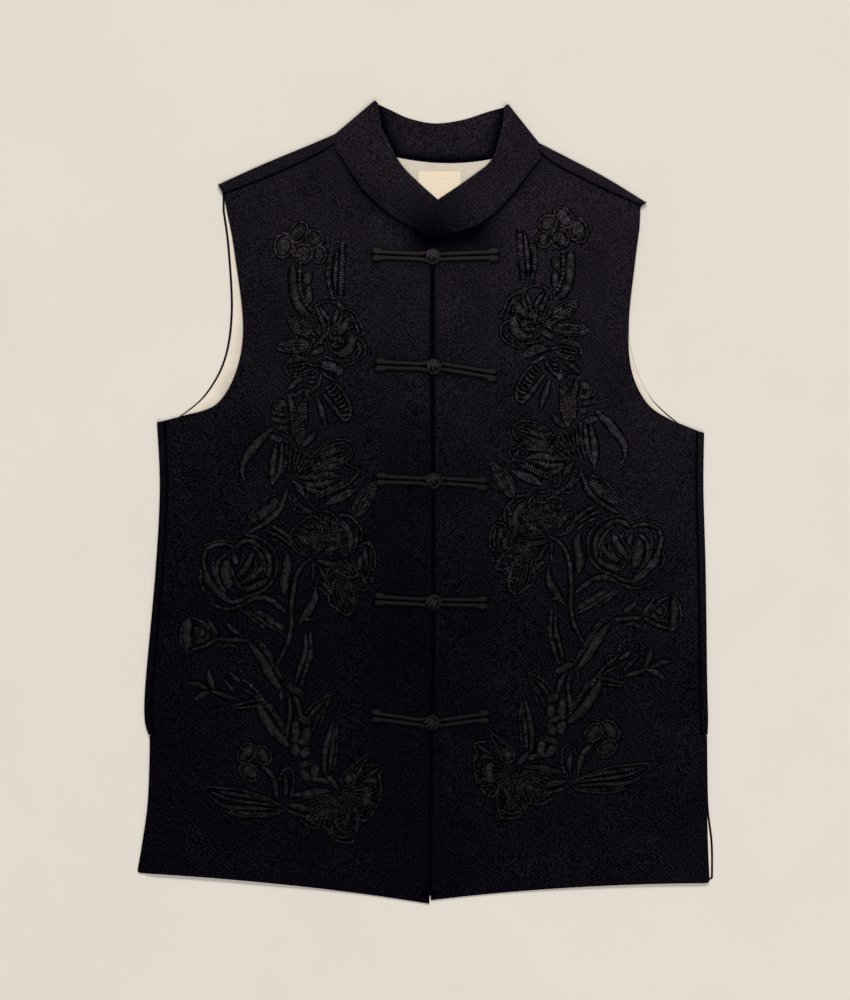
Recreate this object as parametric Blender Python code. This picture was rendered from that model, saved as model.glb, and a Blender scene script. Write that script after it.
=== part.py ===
"""Waistcoat with a stand collar and five frog closures, laid flat on its back.

Blender 4.5 script in metres, +Z up. The origin is on the surface that the back lies on, under
the middle of the garment; +Y runs from the hem to the collar and +X to the wearer's left.
The tables are in millimetres. Each sheet of cloth is modelled as its outer face and thickened
inwards by a Solidify modifier, so the back is one sheet that lies flat, rolls over at the sides
and shoulders, and meets the two fronts at seams that lie a little way in from the rolled edges.
"""

import math
from collections import namedtuple

import bmesh
import bpy
from mathutils import Vector

MM = 0.001

# Walls and the levels at which the layers lie, in millimetres.
BACK_WALL = 1.6
LINING_WALL = 1.0
FRONT_WALL = 1.8
COLLAR_WALL = 2.0
LABEL_WALL = 1.0
SEAM_GAP = 0.4
LAYER_GAP = 0.3
ROLL_RADIUS = 2.6
COLLAR_ROLL_RADIUS = 2.8
COLLAR_TOP_ROLL_RADIUS = 4.4
LINING_TOP = BACK_WALL + LAYER_GAP + LINING_WALL
FRONT_TOP = 2 * ROLL_RADIUS
LINING_INSET = 2.0
LINING_INSET_AT_ROLL = 4.6

# How the sheets are divided: rows between two stations, and columns across.
ROWS_PER_STATION = {"vent": 2, "side": 2, "armhole": 2, "shoulder": 3}
FRONT_COLUMNS = 10
BACK_COLUMNS = 8
ROLL_STEPS = 4
COLLAR_COLUMNS = 4

# Soft fullness of the fronts over the layers under them.
FULLNESS = 2.6
FULLNESS_HALF_WIDTH = 240.0
FULLNESS_FROM_HEM = 90.0
FULLNESS_FROM_SHOULDER = 110.0
HEM_LINE = -350.0
SHOULDER_LINE = 305.0
CENTRE_X = 5.4
CENTRE_GAP = 0.8

# One row for each station up a side of the garment. back: the edge of the back, which is the
# rolled edge where the group is seamed. front: the front's outer edge, or its seam with the
# back. inner: the front's centre edge, and along the shoulder its neck seam.
Station = namedtuple("Station", "name back_x back_y front_x front_y inner_x inner_y")

RIGHT_SIDE = {
    "vent": (
        Station("hem", -243.0, -321.0, -254.1, -326.5, 3.8, -353.5),
        Station("flare", -243.0, -300.0, -249.4, -300.0, 4.0, -325.0),
        Station("vent_low", -243.0, -262.0, -244.3, -262.0, 4.3, -281.0),
        Station("vent_top", -243.0, -209.5, -242.4, -209.0, 4.6, -220.0),
    ),
    "side": (
        Station("vent_stop", -243.8, -204.5, -239.2, -204.5, 4.6, -215.5),
        Station("side_end", -247.2, -190.5, -241.0, -190.5, 4.6, -203.0),
        Station("hip", -246.4, -158.0, -240.0, -158.0, 5.8, -170.0),
        Station("waist", -237.8, -62.0, -231.4, -62.0, 6.8, -75.0),
        Station("ribs", -233.9, 12.0, -227.5, 12.0, 6.3, -2.0),
        Station("underarm", -236.4, 70.4, -229.8, 71.0, 6.2, 42.0),
    ),
    "armhole": (
        Station("arm_1", -217.0, 75.0, -213.0, 76.0, 6.2, 54.0),
        Station("arm_2", -195.0, 94.0, -184.0, 86.0, 6.1, 77.0),
        Station("arm_3", -178.0, 125.0, -166.5, 115.5, 6.0, 106.0),
        Station("arm_4", -171.7, 167.0, -160.6, 157.0, 5.8, 143.0),
        Station("arm_5", -174.4, 222.0, -168.8, 224.0, 5.4, 194.0),
        Station("arm_6", -178.8, 256.0, -174.2, 252.0, 5.4, 214.0),
    ),
    "shoulder": (
        Station("tip", -182.9, 279.0, -177.9, 271.0, 5.4, 231.3),
        Station("shoulder_1", -143.0, 297.0, -139.0, 285.6, -31.0, 251.3),
        Station("shoulder_2", -103.0, 313.6, -99.5, 303.6, -59.0, 277.4),
        Station("neck", -79.3, 323.8, -78.6, 315.8, -76.6, 311.2),
    ),
}

LEFT_SIDE = {
    "vent": (
        Station("hem", 252.7, -332.4, 249.6, -335.2, 4.0, -350.3),
        Station("flare", 252.4, -300.0, 248.0, -297.4, 4.2, -322.0),
        Station("vent_low", 248.6, -265.0, 247.2, -262.0, 4.4, -279.0),
        Station("vent_top", 247.6, -209.5, 246.6, -209.0, 4.6, -220.0),
    ),
    "side": (
        Station("vent_stop", 247.7, -204.5, 242.6, -204.5, 4.6, -215.5),
        Station("side_end", 248.3, -190.5, 241.9, -190.5, 4.6, -203.0),
        Station("hip", 247.5, -158.0, 241.1, -158.0, 5.8, -170.0),
        Station("waist", 246.2, -62.0, 239.8, -62.0, 6.8, -75.0),
        Station("ribs", 244.2, 12.0, 237.8, 12.0, 6.3, -2.0),
        Station("underarm", 244.8, 60.7, 238.4, 62.5, 6.2, 42.0),
    ),
    "armhole": (
        Station("arm_1", 222.0, 69.6, 219.0, 70.3, 6.2, 54.0),
        Station("arm_2", 199.0, 90.6, 195.5, 85.6, 6.1, 77.0),
        Station("arm_3", 184.6, 119.2, 180.8, 115.5, 6.0, 106.0),
        Station("arm_4", 178.8, 152.0, 178.4, 158.0, 5.8, 143.0),
        Station("arm_5", 182.6, 206.0, 183.8, 210.0, 5.6, 188.0),
        Station("arm_6", 190.0, 246.0, 188.8, 242.0, 5.8, 212.0),
    ),
    "shoulder": (
        Station("tip", 194.4, 263.0, 188.8, 260.4, 6.2, 231.3),
        Station("shoulder_1", 159.0, 284.8, 153.5, 276.6, 48.0, 243.6),
        Station("shoulder_2", 121.0, 304.8, 116.5, 295.2, 80.0, 273.4),
        Station("neck", 100.3, 315.4, 99.6, 307.2, 97.8, 302.8),
    ),
}

# How far the middle of a row stands above (+) or below (-) the line between its ends.
HEM_BOW = 3.5
BACK_HEM_BOW = -4.0
NECK_DROP = 19.0

# One row for each soft fold in the fronts: a ridge from one point to another.
Fold = namedtuple("Fold", "name start_x start_y end_x end_y spread height")
FOLDS = (
    Fold("below_right_armhole", -196.0, 44.0, -140.0, 96.0, 13.0, 1.1),
    Fold("below_left_armhole", 162.0, 92.0, 222.0, 6.0, 14.0, 1.2),
    Fold("right_skirt", -206.0, -286.0, -176.0, -150.0, 20.0, 0.9),
    Fold("left_skirt", 196.0, -280.0, 178.0, -130.0, 22.0, 0.8),
    Fold("right_breast", -70.0, 120.0, -54.0, 10.0, 16.0, 0.7),
)

# Stand collar: its top edge beside the stations of the neck seam, and its two rolled ends.
TopEdge = namedtuple("TopEdge", "name top_x top_y seam_level top_level")
RIGHT_COLLAR = (
    TopEdge("tip", 10.1, 265.6, 6.8, 6.8),
    TopEdge("shoulder_1", -7.0, 281.4, 6.6, 7.3),
    TopEdge("shoulder_2", -22.5, 298.0, 6.3, 7.9),
    TopEdge("neck", -38.5, 327.5, 6.0, 8.5),
)
LEFT_COLLAR = (
    TopEdge("tip", 11.1, 265.6, 6.8, 6.8),
    TopEdge("shoulder_1", 41.5, 286.8, 6.6, 7.3),
    TopEdge("shoulder_2", 58.4, 302.0, 6.3, 7.9),
    TopEdge("neck", 67.3, 330.5, 6.0, 8.5),
)
RollLine = namedtuple("RollLine", "seam_x seam_y top_x top_y")
RIGHT_COLLAR_ROLL = RollLine(-78.4, 324.7, -44.7, 353.2)
LEFT_COLLAR_ROLL = RollLine(98.9, 316.6, 72.3, 349.9)
COLLAR_CROWN = 1.0

# Back stretch of the collar: how far along the back neck each row is, and its top edge.
BackCollar = namedtuple("BackCollar", "along top_x top_y")
BACK_COLLAR = (
    BackCollar(0.15, -31.5, 345.0),
    BackCollar(0.31, -14.5, 337.4),
    BackCollar(0.50, 8.0, 333.0),
    BackCollar(0.66, 32.5, 336.2),
    BackCollar(0.82, 54.0, 343.0),
)

# Blank woven label on the lining, under the back of the collar.
LABEL_CENTRE = (12.0, 277.0)
LABEL_WIDTH = 38.0
LABEL_HEIGHT = 28.0

# Frog closures: a row for each, with the outer ends of its two straps.
CORD_RADIUS = 1.8
CORD_SIDES = 6
CORD_SPREAD = 2.7
CORD_STEPS = 7
LOOP_RADIUS = 6.2
LOOP_STEPS = 6
BEND_STEPS = 3
KNOT_RADIUS = 4.0
KNOT_HEIGHT = 8.0
KNOT_SEGMENTS = 12
KNOT_RINGS = 8
Frog = namedtuple("Frog", "knot_x knot_y loop_end_x loop_end_y cord_end_x cord_end_y")
FROGS = (
    Frog(6.2, 215.6, -44.7, 217.4, 61.8, 217.2),
    Frog(6.6, 119.0, -42.1, 120.6, 59.6, 111.6),
    Frog(6.8, 18.6, -41.2, 20.2, 51.6, 16.0),
    Frog(7.0, -87.9, -42.9, -85.3, 51.8, -88.3),
    Frog(5.2, -193.8, -45.4, -187.6, 53.2, -188.2),
)

# Finishes: base colour (linear), roughness and sheen.
Finish = namedtuple("Finish", "colour roughness sheen")
FINISHES = {
    "black_wool": Finish((0.008, 0.007, 0.010), 0.86, 0.4),
    "cream_lining": Finish((0.62, 0.58, 0.52), 0.62, 0.1),
    "cream_label": Finish((0.72, 0.66, 0.56), 0.60, 0.1),
    "black_rouleau": Finish((0.011, 0.010, 0.013), 0.60, 0.3),
}


def clear_scene():
    """Remove every object that the file opened with."""
    for obj in list(bpy.data.objects):
        bpy.data.objects.remove(obj, do_unlink=True)


def make_material(name):
    """Return a Principled material from its row in FINISHES."""
    finish = FINISHES[name]
    material = bpy.data.materials.new(name)
    material.use_nodes = True
    shader = material.node_tree.nodes["Principled BSDF"]
    shader.inputs["Base Color"].default_value = (*finish.colour, 1.0)
    shader.inputs["Roughness"].default_value = finish.roughness
    shader.inputs["Metallic"].default_value = 0.0
    shader.inputs["Sheen Weight"].default_value = finish.sheen
    return material


def new_object(name, bm, material):
    """Turn a bmesh in millimetres into a named object in metres."""
    bmesh.ops.scale(bm, vec=(MM, MM, MM), verts=bm.verts)
    mesh = bpy.data.meshes.new(name)
    bm.to_mesh(mesh)
    bm.free()
    mesh.materials.append(material)
    mesh.shade_smooth()
    obj = bpy.data.objects.new(name, mesh)
    bpy.context.collection.objects.link(obj)
    return obj


def thicken(obj, wall):
    """Give an outer face its wall, on the side that its normals point away from."""
    solidify = obj.modifiers.new("wall", "SOLIDIFY")
    solidify.thickness = wall * MM
    solidify.offset = -1.0
    solidify.use_even_offset = True
    solidify.use_rim = True


def smoothstep(value):
    """Ease from 0 to 1."""
    clamped = min(1.0, max(0.0, value))
    return clamped * clamped * (3.0 - 2.0 * clamped)


def mix(first, second, share):
    """Point between two points."""
    return first + (second - first) * share


def through(points, steps):
    """Points on a smooth curve through the given vectors, steps to each stretch."""
    result = []
    last = len(points) - 1
    for index in range(last):
        before = points[max(index - 1, 0)]
        start = points[index]
        end = points[index + 1]
        after = points[min(index + 2, last)]
        for step in range(steps):
            t = step / steps
            result.append(0.5 * (
                2.0 * start
                + (end - before) * t
                + (2.0 * before - 5.0 * start + 4.0 * end - after) * t * t
                + (3.0 * start - before - 3.0 * end + after) * t * t * t))
    result.append(points[last].copy())
    return result


Row = namedtuple("Row", "group back front inner share")


def side_rows(side):
    """Rows of one side of the garment, refined group by group from its stations."""
    rows = []
    for group, stations in side.items():
        steps = ROWS_PER_STATION[group]
        backs = through([Vector((s.back_x, s.back_y)) for s in stations], steps)
        fronts = through([Vector((s.front_x, s.front_y)) for s in stations], steps)
        inners = through([Vector((s.inner_x, s.inner_y)) for s in stations], steps)
        count = len(backs)
        for index in range(count):
            share = index / (count - 1)
            rows.append(Row(group, backs[index], fronts[index], inners[index], share))
    return rows


def seamed(row):
    """True where the back rolls over and is sewn to the front."""
    return row.group in ("side", "shoulder")


def ridge(fold, point):
    """Height of one soft fold at a point."""
    start = Vector((fold.start_x, fold.start_y))
    along = Vector((fold.end_x, fold.end_y)) - start
    share = (point - start).dot(along) / along.length_squared
    away = (point - start - along * share).length
    fade = smoothstep(2.0 * share) * smoothstep(2.0 * (1.0 - share))
    return fold.height * fade * math.exp(-(away / fold.spread) ** 2)


def front_top(point):
    """Height of the outer face of the fronts at a point, in millimetres."""
    across = min(1.0, abs(point.x - CENTRE_X) / FULLNESS_HALF_WIDTH)
    up = smoothstep((point.y - HEM_LINE) / FULLNESS_FROM_HEM)
    down = smoothstep((SHOULDER_LINE - point.y) / FULLNESS_FROM_SHOULDER)
    fullness = FULLNESS * math.sin(math.pi * across) * up * down
    return FRONT_TOP + fullness + sum(ridge(fold, point) for fold in FOLDS)


def skin(bm, lines, flip):
    """Join neighbouring lines of vertices with quads; a line may lack a column."""
    for first, second in zip(lines, lines[1:]):
        for column in sorted(first):
            corners = [first.get(column), first.get(column + 1),
                       second.get(column + 1), second.get(column)]
            if None not in corners:
                bm.faces.new(reversed(corners) if flip else corners)


def grid(bm, rows):
    """Lines of vertices from rows of points."""
    return [{i: bm.verts.new(point) for i, point in enumerate(row)} for row in rows]


def front_bow(row):
    """Lift of the middle of a front's row."""
    return HEM_BOW * (1.0 - row.share) if row.group == "vent" else 0.0


def build_front(name, side, material):
    """One front: rows from its outer edge to its centre edge and neck seam."""
    towards = 1.0 if side is RIGHT_SIDE else -1.0
    points = []
    for row in side_rows(side):
        outer = row.front.copy()
        if seamed(row):
            outer += (row.front - row.back).normalized() * SEAM_GAP
        inner = row.inner.copy()
        if row.group != "shoulder":
            inner.x -= towards * CENTRE_GAP / 2.0
        line = []
        for column in range(FRONT_COLUMNS + 1):
            share = column / FRONT_COLUMNS
            place = mix(outer, inner, share)
            place.y += front_bow(row) * 4.0 * share * (1.0 - share)
            line.append(Vector((place.x, place.y, front_top(place))))
        points.append(line)
    bm = bmesh.new()
    skin(bm, grid(bm, points), flip=side is LEFT_SIDE)
    front = new_object(name, bm, material)
    thicken(front, FRONT_WALL)
    return front


def back_bow(row):
    """Lift of the middle of a row of the back."""
    if row.group == "vent":
        return BACK_HEM_BOW * (1.0 - row.share)
    if row.group == "shoulder":
        return -NECK_DROP * row.share
    return 0.0


def rolled_edge(row):
    """Points from where a sheet leaves the surface, over the roll, to its seam."""
    across = (row.front - row.back).normalized()
    centre = row.back + across * ROLL_RADIUS
    points = []
    for step in range(ROLL_STEPS + 1):
        angle = math.pi * step / ROLL_STEPS
        place = centre - across * ROLL_RADIUS * math.sin(angle)
        points.append(Vector((place.x, place.y, ROLL_RADIUS * (1.0 - math.cos(angle)))))
    points.append(Vector((row.front.x, row.front.y, FRONT_TOP)))
    return points


def back_line(left, right, inset, height):
    """Points across the back from its edge at one side to its edge at the other."""
    start = left.back.copy()
    end = right.back.copy()
    for place, row in ((start, left), (end, right)):
        if seamed(row):
            reach = inset or ROLL_RADIUS
            place += (row.front - row.back).normalized() * reach
        elif inset:
            place.x += LINING_INSET * (1.0 if row is left else -1.0)
    line = []
    for column in range(BACK_COLUMNS + 1):
        share = column / BACK_COLUMNS
        place = mix(start, end, share)
        place.y += back_bow(left) * 4.0 * share * (1.0 - share)
        line.append(Vector((place.x, place.y, height)))
    return line


def build_back(material):
    """The back: flat underneath, rolled over to the side and shoulder seams."""
    bm = bmesh.new()
    lines = []
    for left, right in zip(side_rows(RIGHT_SIDE), side_rows(LEFT_SIDE)):
        line = {i: bm.verts.new(p) for i, p in enumerate(back_line(left, right, 0.0, 0.0))}
        if seamed(left):
            for step, point in enumerate(rolled_edge(left)[1:], start=1):
                line[-step] = bm.verts.new(point)
            for step, point in enumerate(rolled_edge(right)[1:], start=1):
                line[BACK_COLUMNS + step] = bm.verts.new(point)
        lines.append(line)
    skin(bm, lines, flip=True)
    back = new_object("back", bm, material)
    thicken(back, BACK_WALL)
    return back


def build_lining(material):
    """The back lining, just inside the back."""
    points = []
    pairs = list(zip(side_rows(RIGHT_SIDE), side_rows(LEFT_SIDE)))
    for index, (left, right) in enumerate(pairs):
        line = back_line(left, right, LINING_INSET_AT_ROLL, LINING_TOP)
        if index == 0:
            for point in line:
                point.y += LINING_INSET
        points.append(line)
    bm = bmesh.new()
    skin(bm, grid(bm, points), flip=False)
    lining = new_object("back_lining", bm, material)
    thicken(lining, LINING_WALL)
    return lining


def back_neck(along):
    """Point on the back neck seam, from the right shoulder (0) to the left one (1)."""
    left = side_rows(RIGHT_SIDE)[-1]
    right = side_rows(LEFT_SIDE)[-1]
    place = mix(left.back, right.back, along)
    place.y += back_bow(left) * 4.0 * along * (1.0 - along) + SEAM_GAP
    return place


def band_row(seam, top, seam_level, top_level, crown):
    """One row across the collar band, from its seam to its top edge."""
    row = []
    for column in range(COLLAR_COLUMNS + 1):
        share = column / COLLAR_COLUMNS
        place = mix(seam, top, share)
        height = mix(seam_level, top_level, share) + crown * 4.0 * share * (1.0 - share)
        row.append(Vector((place.x, place.y, height)))
    return row


def collar_front_rows(side, edges, shift):
    """Rows of the collar beside one front, from the centre front to the shoulder."""
    shoulder = [row for row in side_rows(side) if row.group == "shoulder"]
    steps = ROWS_PER_STATION["shoulder"]
    tops = through([Vector((e.top_x, e.top_y, e.top_level)) for e in edges], steps)
    levels = through([Vector((e.seam_level, 0.0)) for e in edges], steps)
    rows = []
    for row, top, level in zip(shoulder, tops, levels):
        seam = row.inner + (top.xy - row.inner).normalized() * SEAM_GAP
        if not rows:
            seam.x += shift
        rows.append(band_row(seam, top.xy, level.x, top.z, COLLAR_CROWN))
    return rows


def collar_roll_rows(roll, inwards):
    """Rows round a rolled end of the collar, from its upper side to its lower one."""
    seam = Vector((roll.seam_x, roll.seam_y))
    top = Vector((roll.top_x, roll.top_y))
    along = (top - seam).normalized()
    across = Vector((along.y, -along.x)) * inwards
    rows = []
    for step in range(ROLL_STEPS + 1):
        angle = math.pi * step / ROLL_STEPS
        inset = across * (1.0 - math.sin(angle))
        rise = 1.0 + math.cos(angle)
        rows.append(band_row(
            seam + inset * COLLAR_ROLL_RADIUS, top + inset * COLLAR_TOP_ROLL_RADIUS,
            rise * COLLAR_ROLL_RADIUS, rise * COLLAR_TOP_ROLL_RADIUS, 0.0))
    return rows


def build_collar(material):
    """The stand collar: one band, rolled at the sides of the neck."""
    half_gap = CENTRE_GAP / 2.0
    rows = collar_front_rows(RIGHT_SIDE, RIGHT_COLLAR, -half_gap)
    rows += collar_roll_rows(RIGHT_COLLAR_ROLL, 1.0)
    for row in BACK_COLLAR:
        rows.append(band_row(back_neck(row.along), Vector((row.top_x, row.top_y)), 0.0, 0.0, 0.0))
    rows += reversed(collar_roll_rows(LEFT_COLLAR_ROLL, -1.0))
    rows += reversed(collar_front_rows(LEFT_SIDE, LEFT_COLLAR, half_gap))
    bm = bmesh.new()
    skin(bm, grid(bm, rows), flip=False)
    collar = new_object("stand_collar", bm, material)
    thicken(collar, COLLAR_WALL)
    return collar


def build_label(material):
    """The blank label: a flat patch on the lining."""
    level = LINING_TOP + LAYER_GAP + LABEL_WALL
    x, y = LABEL_CENTRE
    half_width = LABEL_WIDTH / 2.0
    half_height = LABEL_HEIGHT / 2.0
    rows = []
    for up in (-half_height, half_height):
        rows.append([Vector((x + side, y + up, level)) for side in (-half_width, half_width)])
    bm = bmesh.new()
    skin(bm, grid(bm, rows), flip=False)
    label = new_object("neck_label", bm, material)
    thicken(label, LABEL_WALL)
    return label


def arc(centre, radius, start, end, steps):
    """Points on an arc, with its angles in degrees."""
    points = []
    for step in range(steps + 1):
        angle = math.radians(start + (end - start) * step / steps)
        points.append(centre + Vector((math.cos(angle), math.sin(angle))) * radius)
    return points


def loop_route(frog):
    """Plan of the loop's cord: along the right front, round the knot and back."""
    knot = Vector((frog.knot_x, frog.knot_y))
    end = Vector((frog.loop_end_x, frog.loop_end_y))
    neck = knot - Vector((LOOP_RADIUS + CORD_SPREAD, 0.0))
    rise = Vector((0.0, CORD_SPREAD))
    upper = [mix(end + rise, neck + rise, s / CORD_STEPS) for s in range(CORD_STEPS + 1)]
    lower = [mix(neck - rise, end - rise, s / CORD_STEPS) for s in range(CORD_STEPS + 1)]
    return upper + arc(knot, LOOP_RADIUS, 135.0, -135.0, LOOP_STEPS) + lower


def button_route(frog):
    """Plan of the knot's cord: from the left front's end to the loop and back."""
    knot = Vector((frog.knot_x, frog.knot_y))
    end = Vector((frog.cord_end_x, frog.cord_end_y))
    reach = LOOP_RADIUS + CORD_RADIUS + LAYER_GAP + CORD_RADIUS + CORD_SPREAD
    bend = knot + Vector((reach, 0.0))
    rise = Vector((0.0, CORD_SPREAD))
    upper = [mix(end + rise, bend + rise, s / CORD_STEPS) for s in range(CORD_STEPS + 1)]
    lower = [mix(bend - rise, end - rise, s / CORD_STEPS) for s in range(CORD_STEPS + 1)]
    return upper[:-1] + arc(bend, CORD_SPREAD, 90.0, 270.0, BEND_STEPS) + lower[1:]


def cord_centre(place):
    """Centre of a cord that lies on the fronts at a point."""
    return Vector((place.x, place.y, front_top(place) + LAYER_GAP + CORD_RADIUS))


def build_cord(name, route, material):
    """A tube along a route that lies on the fronts."""
    centres = [cord_centre(place) for place in route]
    bm = bmesh.new()
    rings = []
    for index, centre in enumerate(centres):
        before = centres[max(index - 1, 0)]
        after = centres[min(index + 1, len(centres) - 1)]
        along = (after - before).normalized()
        side = along.cross(Vector((0.0, 0.0, 1.0))).normalized()
        over = side.cross(along)
        ring = []
        for corner in range(CORD_SIDES):
            angle = math.tau * corner / CORD_SIDES
            offset = side * math.cos(angle) + over * math.sin(angle)
            ring.append(bm.verts.new(centre + offset * CORD_RADIUS))
        rings.append(ring)
    for first, second in zip(rings, rings[1:]):
        for corner in range(CORD_SIDES):
            after = (corner + 1) % CORD_SIDES
            bm.faces.new((first[corner], second[corner], second[after], first[after]))
    bm.faces.new(rings[0])
    bm.faces.new(reversed(rings[-1]))
    bmesh.ops.recalc_face_normals(bm, faces=bm.faces)
    return new_object(name, bm, material)


def build_knot(name, frog, material):
    """The ball of a frog: a slightly flattened round knot in its loop."""
    place = Vector((frog.knot_x, frog.knot_y))
    bm = bmesh.new()
    bmesh.ops.create_uvsphere(bm, u_segments=KNOT_SEGMENTS, v_segments=KNOT_RINGS, radius=1.0)
    bmesh.ops.scale(bm, vec=(KNOT_RADIUS, KNOT_RADIUS, KNOT_HEIGHT / 2.0), verts=bm.verts)
    centre = Vector((place.x, place.y, front_top(place) + LAYER_GAP + KNOT_HEIGHT / 2.0))
    bmesh.ops.translate(bm, vec=centre, verts=bm.verts)
    return new_object(name, bm, material)


def main():
    """Build every piece of the waistcoat."""
    clear_scene()
    wool = make_material("black_wool")
    rouleau = make_material("black_rouleau")
    build_back(wool)
    build_lining(make_material("cream_lining"))
    build_label(make_material("cream_label"))
    build_front("right_front", RIGHT_SIDE, wool)
    build_front("left_front", LEFT_SIDE, wool)
    build_collar(wool)
    for number, frog in enumerate(FROGS, start=1):
        build_cord(f"frog_{number}_loop", loop_route(frog), rouleau)
        build_cord(f"frog_{number}_button_cord", button_route(frog), rouleau)
        build_knot(f"frog_{number}_knot", frog, rouleau)


main()
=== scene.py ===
"""Looks of an embroidered waistcoat that lies flat on its back.

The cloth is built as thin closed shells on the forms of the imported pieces, then come the frog
closures and the raised embroidery. Tables and sizes are in millimetres, with the origin under
the middle of the garment, +Y towards the collar and +X to the wearer's left.
"""

import logging
import math
from dataclasses import dataclass, field
from enum import Enum
from typing import Callable, Optional, Sequence

import bpy
import numpy as np
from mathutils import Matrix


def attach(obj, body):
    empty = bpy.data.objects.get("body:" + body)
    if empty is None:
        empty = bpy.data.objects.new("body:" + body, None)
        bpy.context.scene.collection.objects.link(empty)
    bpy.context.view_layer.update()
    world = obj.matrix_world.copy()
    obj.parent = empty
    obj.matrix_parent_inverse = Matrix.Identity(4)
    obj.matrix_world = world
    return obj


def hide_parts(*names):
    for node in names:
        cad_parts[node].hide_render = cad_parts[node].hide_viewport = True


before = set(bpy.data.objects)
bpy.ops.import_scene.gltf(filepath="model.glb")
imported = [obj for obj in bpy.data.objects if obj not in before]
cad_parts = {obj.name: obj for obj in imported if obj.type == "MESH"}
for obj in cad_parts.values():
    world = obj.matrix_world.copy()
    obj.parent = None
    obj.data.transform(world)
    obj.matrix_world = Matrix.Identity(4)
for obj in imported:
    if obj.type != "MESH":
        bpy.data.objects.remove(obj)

LOG = logging.getLogger("waistcoat")
MM = 0.001
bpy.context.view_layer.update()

Plan = Sequence[tuple[float, float]]


# ---------------------------------------------------------------- curves and heights

def smoothstep(value: np.ndarray) -> np.ndarray:
    """Ease from 0 to 1."""
    clamped = np.clip(value, 0.0, 1.0)
    return clamped * clamped * (3.0 - 2.0 * clamped)


def smooth_line(points: Plan, steps: int) -> np.ndarray:
    """Draw a smooth curve through given points.

    Args:
        points: the places that the curve passes through, of two or three numbers each.
        steps: how many stretches lie between two of them.

    Returns:
        The curve's points, one row each.
    """
    knots = np.asarray(points, dtype=float)
    padded = np.vstack((knots[:1], knots, knots[-1:]))
    share = (np.arange(steps) / steps)[:, None]
    parts = []
    for before, start, end, after in zip(padded, padded[1:], padded[2:], padded[3:]):
        parts.append(0.5 * (2.0 * start + (end - before) * share
                            + (2.0 * before - 5.0 * start + 4.0 * end - after) * share ** 2
                            + (3.0 * start - before - 3.0 * end + after) * share ** 3))
    parts.append(knots[-1:])
    return np.vstack(parts)


def reach_of(line: np.ndarray) -> np.ndarray:
    """How far along a line each of its points lies."""
    return np.concatenate(([0.0], np.cumsum(np.linalg.norm(np.diff(line, axis=0), axis=1))))


def even_line(points: np.ndarray, step: float) -> np.ndarray:
    """Lay points at even steps along a line.

    Args:
        points: the line.
        step: the distance wanted between two points.

    Returns:
        Points from the line's start to its end.
    """
    reach = reach_of(points)
    count = max(4, int(round(reach[-1] / step)) + 1)
    even = np.linspace(0.0, reach[-1], count)
    return np.column_stack([np.interp(even, reach, column) for column in points.T])


def distance_to(points: np.ndarray, line: np.ndarray) -> np.ndarray:
    """Distance in plan from each point of a grid to a line of points."""
    flat = points[..., :2].reshape(-1, 1, 2)
    start = line[:-1, :2][None]
    along = line[1:, :2][None] - start
    squared = np.maximum((along ** 2).sum(axis=2), 1e-12)
    share = np.clip(((flat - start) * along).sum(axis=2) / squared, 0.0, 1.0)
    nearest = start + along * share[..., None]
    return np.sqrt(((flat - nearest) ** 2).sum(axis=2)).min(axis=1).reshape(points.shape[:-1])


def beside(distance: np.ndarray, width: float) -> np.ndarray:
    """Fade from 1 on a line to 0 away from it."""
    return np.exp(-(distance / width) ** 2)


def scatter(number: np.ndarray | float, seed: float) -> np.ndarray:
    """An uneven share, 0 to 1, for each number; the same one on every run."""
    return np.modf(np.abs(np.sin(number * 12.9898 + seed * 78.233)) * 437.58)[0]


def rounding(distance: np.ndarray, radius: float) -> np.ndarray:
    """How far a rounded edge lies below its sheet, by the distance from the edge."""
    inside = np.clip(radius - distance, 0.0, radius)
    return radius - np.sqrt(radius * radius - inside * inside)


# ---------------------------------------------------------------- the garment's cut

class Group(Enum):
    """How the front and the back meet along a stretch of the side."""

    VENT = "vent"
    SIDE = "side"
    ARMHOLE = "armhole"
    SHOULDER = "shoulder"
    LINK = "link"


@dataclass(frozen=True)
class Station:
    """One line across the garment: the back's edge, the front's edge and its centre edge."""

    name: str
    back: tuple[float, float]
    front: tuple[float, float]
    inner: tuple[float, float]


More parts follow.
